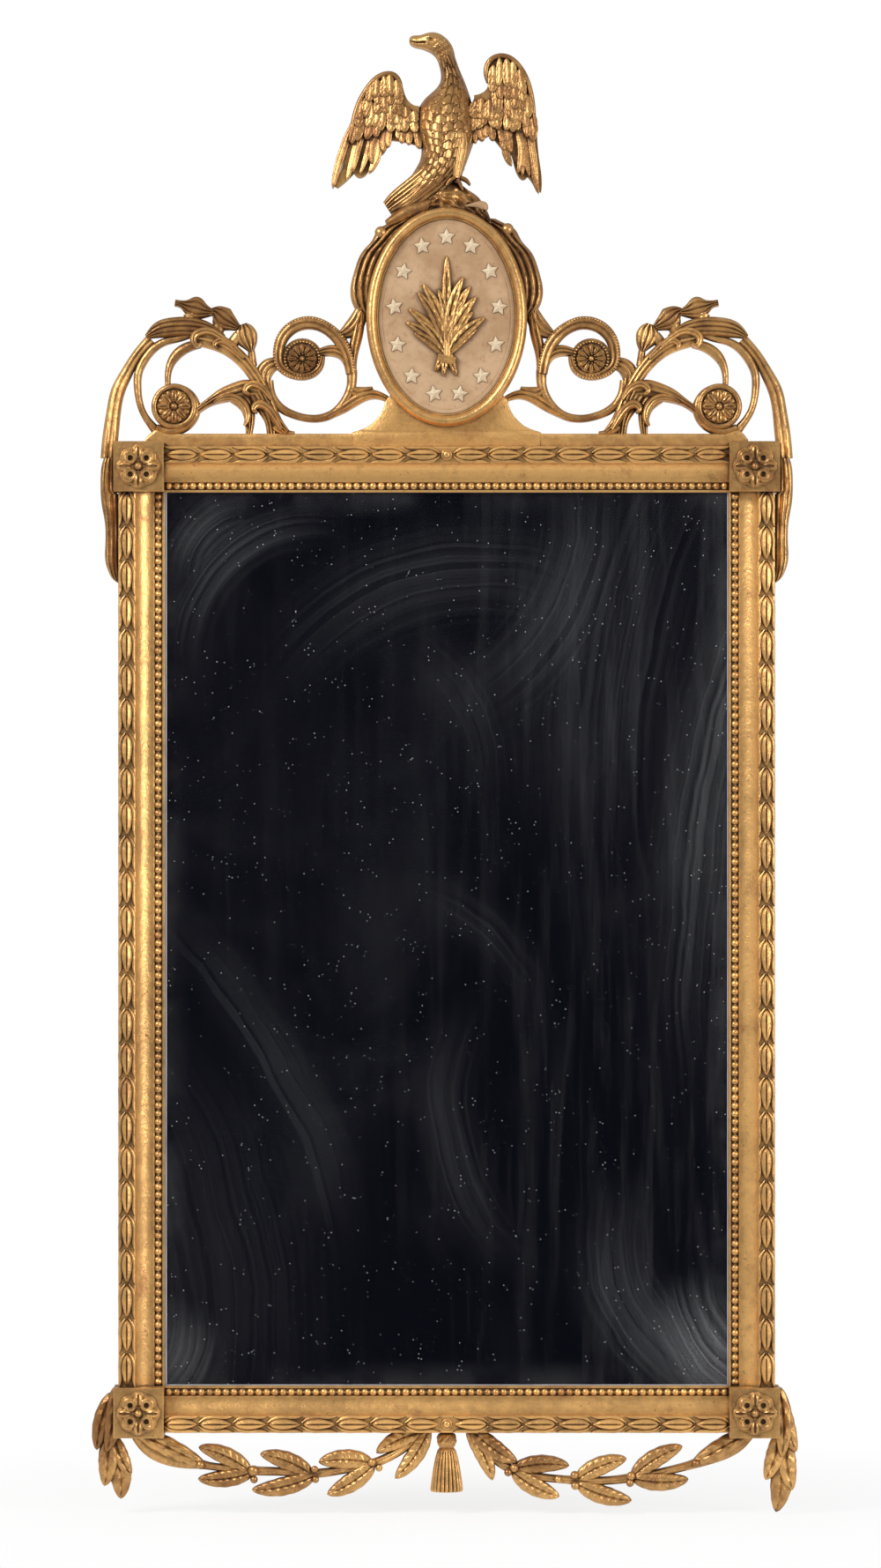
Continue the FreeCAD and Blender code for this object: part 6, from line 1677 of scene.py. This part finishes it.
# The side drop: how far its line lies from the one read, how it draws in at its top, and its depths
SIDE_DROP_SHIFT = (2.5, 1.3)
SIDE_DROP_IN, SIDE_DROP_REACH = 6.5, 11
SIDE_DROP_EDGE, SIDE_DROP_CROWN = 11, 17.2
# Corner leaves: depth of the first one's edge, the step down to each next one, and how much fuller they are
CORNER_EDGE, CORNER_STEP = 15.6, 1.7
CORNER_FULLER = 1.22


def side_flutes(t, v):
    """Three ribs whose height wavers along the strip."""
    return ribbed(3, 0.3)(t, v) * (0.92 + 0.06 * np.sin(19 * t + 2 * v))


def side_strip(plan):
    """The long fluted strip beside an upper block and the stile, from its outline to the block's side."""
    outer = smooth(SIDE_DROP_PIXELS, 70) - SIDE_DROP_SHIFT
    outer[:, 0] += SIDE_DROP_IN * np.exp((outer[0, 1] - outer[:, 1]) / SIDE_DROP_REACH)
    inner_x, inner_y = np.transpose(SIDE_DROP_INNER)
    inner_x = np.maximum(np.interp(outer[:, 1], inner_y, inner_x), outer[:, 0] + 0.4)
    inner = np.stack((inner_x, outer[:, 1]), 1)
    return panel(plan(outer), plan(inner), 0, SIDE_DROP_EDGE, SIDE_DROP_CROWN, side_flutes, 25)


class MIRROR_OT_drops(bpy.types.Operator):
    """Carves the leaf drops beside the upper and lower blocks"""

    bl_idname = "federal_mirror.drops"
    bl_label = "Leaf drops"

    def execute(self, context):
        for number, side in enumerate(SIDES):
            carving = Carving(120 + number)
            carving.add(side_strip(SIDE_PLAN.on(side)))
            carving.build("side_leaf_" + side, "side_drop_" + side, surface=TONED, crease=45)
            carving = Carving(125 + number)
            for order, (base, tip, width) in enumerate(CORNER_LEAF_PIXELS[side]):
                edge = CORNER_EDGE - CORNER_STEP * order
                depths = (DROP_BACK, edge, edge + mm("leaf_relief"))
                shape = dict(rise=veined(4, 0.42, 0.09), bend=0.05 * (-1) ** order, lift=0.8)
                carving.add(leaf(CORNER_PLANS[side], base, tip, CORNER_FULLER * width, *depths, **shape))
            carving.build("corner_leaves_" + side, "corner_drop_" + side, surface=TONED, crease=45)
        return {"FINISHED"}


# Garlands: how much wider and longer than read, depths of the leaves' edges by turns, and of stem and berries
GARLAND_STEM_MORE = (0, 0, 2)
GARLAND_LONGER, GARLAND_FULLER = 1.06, 1.04
GARLAND_EDGE, GARLAND_STEP = 12.4, 0.9
GARLAND_BEND, GARLAND_LIFT = 0.06, 0.9
GARLAND_STEM_CROWN = 15.5
BERRY_DEPTH = 16
# The tassel: drop below the rail, and radius
TASSEL_STOPS = [
    (0, 5), (2, 5.2), (2.6, 7.6), (6, 8.9), (10, 8.9), (13.5, 7.8), (15.4, 6.6), (16.4, 7.4), (18, 8.6),
    (24, 10.4), (34, 12.4), (46, 14.2), (53, 15), (55, 14.6),
]
TASSEL_FLUTES = 11


def garland(carving, side):
    """A stem with pairs of leaves that bend apart, a larger leaf at the end, and berries."""
    plan = GARLAND_PLAN
    relief = mm("leaf_relief")
    stops = np.array(GARLAND_STEM_PIXELS[side]) + GARLAND_STEM_MORE
    round_stem = dict(rise=ribbed(2, 0.25), rounding=4, across=15, per_stop=12)
    carving.add(stem(plan, stops, DROP_BACK, GARLAND_STEM_CROWN, **round_stem))
    for order, (base, tip, width) in enumerate(GARLAND_LEAF_PIXELS[side]):
        edge = GARLAND_EDGE + GARLAND_STEP * (order % 2)
        bend = GARLAND_BEND * SIDES[side] * (-1) ** order
        tip = np.array(base) + GARLAND_LONGER * (np.array(tip) - base)
        shape = dict(rise=veined(8), bend=bend, lift=GARLAND_LIFT, count=36, across=17)
        carving.add(leaf(plan, base, tip, GARLAND_FULLER * width, DROP_BACK, edge, edge + relief, **shape))
    shape = dict(rise=veined(5, 0.3, 0.1), lift=0.5, count=36, across=17)
    carving.add(leaf(plan, *GARLAND_END_PIXELS[side], DROP_BACK, edge=12.8, crown=13.4 + relief, **shape))
    for x, y, radius in GARLAND_BERRY_PIXELS[side]:
        carving.add(beads(plan([(x, y)]), BERRY_DEPTH, plan.size(radius), rows=8, ring=18))


def tassel():
    """Half rounds of the radius at each height; below the knot the radius waves with the angle, as cords do."""
    height, girth = np.transpose(TASSEL_STOPS)
    drop = np.linspace(0, height[-1], 90)[:, None]
    turn = np.linspace(-math.pi / 2, math.pi / 2, 89)[None]
    skirt = ramp(drop, 16.5, 19.5)
    knot = np.clip(1 - np.abs(drop - 8) / 6, 0, 1)
    cords = np.abs(np.cos(TASSEL_FLUTES * turn)) ** 0.7
    radius = np.interp(drop, height, girth) * (1 - 0.13 * skirt * (1 - cords))
    radius = radius - 0.5 * knot * np.cos(9 * turn + 0.8 * drop)
    x = radius * np.sin(turn)
    return np.stack((x, DROP_BACK + 0.98 * radius * np.cos(turn), -RAIL_TOP - drop + 0 * x), -1)


class MIRROR_OT_garlands(bpy.types.Operator):
    """Carves the leaf garlands and the tassel under the bottom rail"""

    bl_idname = "federal_mirror.garlands"
    bl_label = "Garlands"

    def execute(self, context):
        for number, side in enumerate(SIDES):
            carving = Carving(130 + number)
            garland(carving, side)
            carving.build("leaf_garland_" + side, "garland_" + side, surface=TONED, crease=45)
        carving = Carving(135)
        carving.add(tassel())
        carving.build("corded_tassel", "tassel", surface=TONED, crease=50)
        return {"FINISHED"}


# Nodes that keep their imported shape, by the start of their names

KEPT_FINISHES = {
    TONED: ("corner_block", "eagle_wing"),
    "silvered_glass": ("mirror_glass",),
    "bare_pine": ("backboard", "dowels"),
    "grey_card": ("backing_sheet",),
    "hardware_brass": ("hanger_strap", "hanger_ring", "turn_button_left", "turn_button_right"),
    "screw_steel": ("wood_screws", "turn_button_screws"),
    "strap_iron": ("crest_strap",),
    "bumper_rubber": ("wall_bumpers",),
}


class MIRROR_OT_finishes(bpy.types.Operator):
    """Finishes the glass, the blocks, the wings, the back and the hardware"""

    bl_idname = "federal_mirror.finishes"
    bl_label = "Finishes"

    def execute(self, context):
        for surface, starts in KEPT_FINISHES.items():
            kept = [node for name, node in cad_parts.items() if name.startswith(starts)]
            if not kept:
                raise RuntimeError(f"No part takes the finish {surface}")
            for node in kept:
                for slot in node.material_slots:
                    slot.material = finish(surface)
        return {"FINISHED"}


# Stage

FLOOR_DROP = 0.002
FLOOR_ENDS = (-3.5, 3.5)
FLOOR_DEPTHS = (-0.42, 4)
# The floor's glow, which hides its shadows: its share near the mirror, and the distances from a depth over
# which it grows to 1
GLOW_SHARE = 0.8
GLOW_DEPTH = -0.03
GLOW_NEAR, GLOW_FAR = 0.1, 0.75
# Painted reflection: a dim glowing sheet behind the camera, seen only in reflections, stands for the dark room that
# the glass shows
DARK_REFLECTION_CARD = [(-1.5, -7, -3.2), (1.5, -7, -3.2), (1.5, -7, 1.5), (-1.5, -7, 1.5)]
DARK_REFLECTION_GLOW = (0.0028, 0.0029, 0.0062)
# The world's strength for light that falls on things, and for rays of each other kind
WORLD_LIGHT = 0.4
WORLD_STRENGTHS = {"Is Glossy Ray": 0.5, "Is Transmission Ray": 1, "Is Camera Ray": 1}
# Lights: place, size and power
LIGHTS = {"key": ((-1.9, -1.7, 1.4), 1.3, 62), "fill": ((2.0, -1.7, 0.2), 1.3, 30)}
LIGHT_TARGET = (0, 0, -0.1)
CAMERA_ACROSS, CAMERA_HEIGHT = -0.0056, -0.149
SENSOR_WIDTH = 36


def stage_material(name, build):
    """A material whose surface is what a function makes of its emptied node tree."""
    material = bpy.data.materials.new(name)
    material.use_nodes = True
    nodes = Nodes(material.node_tree)
    nodes.tree.nodes.clear()
    output = nodes.tree.nodes.new("ShaderNodeOutputMaterial")
    nodes.join(build(nodes), output.inputs["Surface"])
    return material


def seen_directly(nodes):
    """1 for rays from the camera, from reflections and through glass; 0 for the light that falls on things."""
    path = nodes.tree.nodes.new("ShaderNodeLightPath").outputs
    rays = path["Is Camera Ray"]
    for name in ("Is Glossy Ray", "Is Transmission Ray"):
        rays = nodes.math("MAXIMUM", rays, path[name])
    return rays


def floor_shader(nodes):
    """A pale floor that keeps shadows near the object and glows white, when seen directly, farther off."""
    place = nodes.node("TexCoord", {}, output="Object")
    away = nodes.apart(place, (0, GLOW_DEPTH, CAD_BOX[0][2]))
    reach = {"Value": away, "From Min": GLOW_NEAR, "From Max": GLOW_FAR, "To Min": GLOW_SHARE}
    own = nodes.node("MapRange", reach)
    diffuse = nodes.node("BsdfDiffuse", {"Color": colours().floor})
    share = nodes.times(seen_directly(nodes), own)
    return nodes.node("MixShader", {0: share, 1: diffuse, 2: nodes.node("Emission", {})})


def dark_reflection_shader(nodes):
    """A dim even glow: a painted reflection of the dark room that the glass shows."""
    return nodes.node("Emission", {"Color": DARK_REFLECTION_GLOW})


def world_light():
    """A white world whose strength depends on the kind of ray."""
    world = bpy.data.worlds.new("studio")
    world.use_nodes = True
    nodes = Nodes(world.node_tree)
    path = nodes.tree.nodes.new("ShaderNodeLightPath").outputs
    level = WORLD_LIGHT
    for name, strength in WORLD_STRENGTHS.items():
        level = nodes.node("Mix", {0: path[name], 2: level, 3: strength})
    background = nodes.tree.nodes["Background"].inputs
    nodes.join((1, 1, 1), background["Color"])
    nodes.join(level, background["Strength"])
    return world


def staged(name, data):
    """An object of the stage."""
    made = bpy.data.objects.new(name, data)
    bpy.context.scene.collection.objects.link(made)
    return made


def sheet(name, corners, shader):
    """A flat sheet of four corners."""
    mesh = bpy.data.meshes.new(name)
    mesh.from_pydata(corners, [], [(0, 1, 2, 3)])
    mesh.materials.append(stage_material(name, shader))
    return staged(name, mesh)


def area_light(name, place, size, power):
    """A round light turned to the mirror."""
    lamp = bpy.data.lights.new(name, "AREA")
    lamp.shape = "DISK"
    lamp.size = size
    lamp.energy = power
    light = staged(name, lamp)
    light.location = place
    way = Vector(LIGHT_TARGET) - Vector(place)
    light.rotation_euler = way.to_track_quat("-Z", "Y").to_euler()


class MIRROR_OT_stage(bpy.types.Operator):
    """Sets the floor, the light and the camera"""

    bl_idname = "federal_mirror.stage"
    bl_label = "Stage"

    def execute(self, context):
        scene = context.scene
        low = CAD_BOX[0][2] - FLOOR_DROP
        (left, right), (near, far) = FLOOR_ENDS, FLOOR_DEPTHS
        sheet("floor", [(left, near, low), (right, near, low), (right, far, low), (left, far, low)], floor_shader)
        # Painted reflection: the dark room in the glass, hidden from the camera, from light that falls on things and
        # from shadows
        dark = sheet("dark_reflection_card", DARK_REFLECTION_CARD, dark_reflection_shader)
        dark.visible_camera = False
        dark.visible_diffuse = False
        dark.visible_shadow = False
        scene.world = world_light()
        for name, light in LIGHTS.items():
            area_light(name, *light)
        camera = bpy.data.cameras.new("camera")
        camera.sensor_width = SENSOR_WIDTH
        camera.lens = sizes().camera_lens
        eye = bpy.data.objects.new("camera", camera)
        eye.location = (CAMERA_ACROSS, CAD_BOX[0][1] - sizes().camera_distance, CAMERA_HEIGHT)
        eye.rotation_euler = (math.pi / 2, 0, 0)
        scene.collection.objects.link(eye)
        scene.camera = eye
        scene.view_settings.view_transform = "Standard"
        return {"FINISHED"}


class MIRROR_PT_panel(bpy.types.Panel):
    """Sizes, colours and the makers of the mirror's pieces"""

    bl_idname = "MIRROR_PT_panel"
    bl_label = "Federal Mirror"
    bl_space_type = "VIEW_3D"
    bl_region_type = "UI"
    bl_category = "Mirror"

    def draw(self, context):
        for group in (sizes(), colours()):
            box = self.layout.box()
            for name in group.__annotations__:
                box.prop(group, name)
        for maker in MAKERS:
            self.layout.operator(maker.bl_idname)


MAKERS = (
    MIRROR_OT_mouldings, MIRROR_OT_beads, MIRROR_OT_husks, MIRROR_OT_rosettes, MIRROR_OT_scrolls,
    MIRROR_OT_centre_board, MIRROR_OT_medallion, MIRROR_OT_eagle, MIRROR_OT_drops, MIRROR_OT_garlands,
    MIRROR_OT_finishes, MIRROR_OT_stage,
)
CLASSES = (MirrorSizes, MirrorColours, *MAKERS, MIRROR_PT_panel)


def register():
    for item in CLASSES:
        bpy.utils.register_class(item)
    bpy.types.Scene.federal_mirror_sizes = bpy.props.PointerProperty(type=MirrorSizes)
    bpy.types.Scene.federal_mirror_colours = bpy.props.PointerProperty(type=MirrorColours)


def unregister():
    del bpy.types.Scene.federal_mirror_colours
    del bpy.types.Scene.federal_mirror_sizes
    for item in reversed(CLASSES):
        bpy.utils.unregister_class(item)


def main():
    register()
    bpy.ops.federal_mirror.mouldings()
    bpy.ops.federal_mirror.beads()
    bpy.ops.federal_mirror.husks()
    bpy.ops.federal_mirror.rosettes()
    bpy.ops.federal_mirror.scrolls()
    bpy.ops.federal_mirror.centre_board()
    bpy.ops.federal_mirror.medallion()
    bpy.ops.federal_mirror.eagle()
    bpy.ops.federal_mirror.drops()
    bpy.ops.federal_mirror.garlands()
    bpy.ops.federal_mirror.finishes()
    bpy.ops.federal_mirror.stage()


if __name__ == "__main__":
    main()
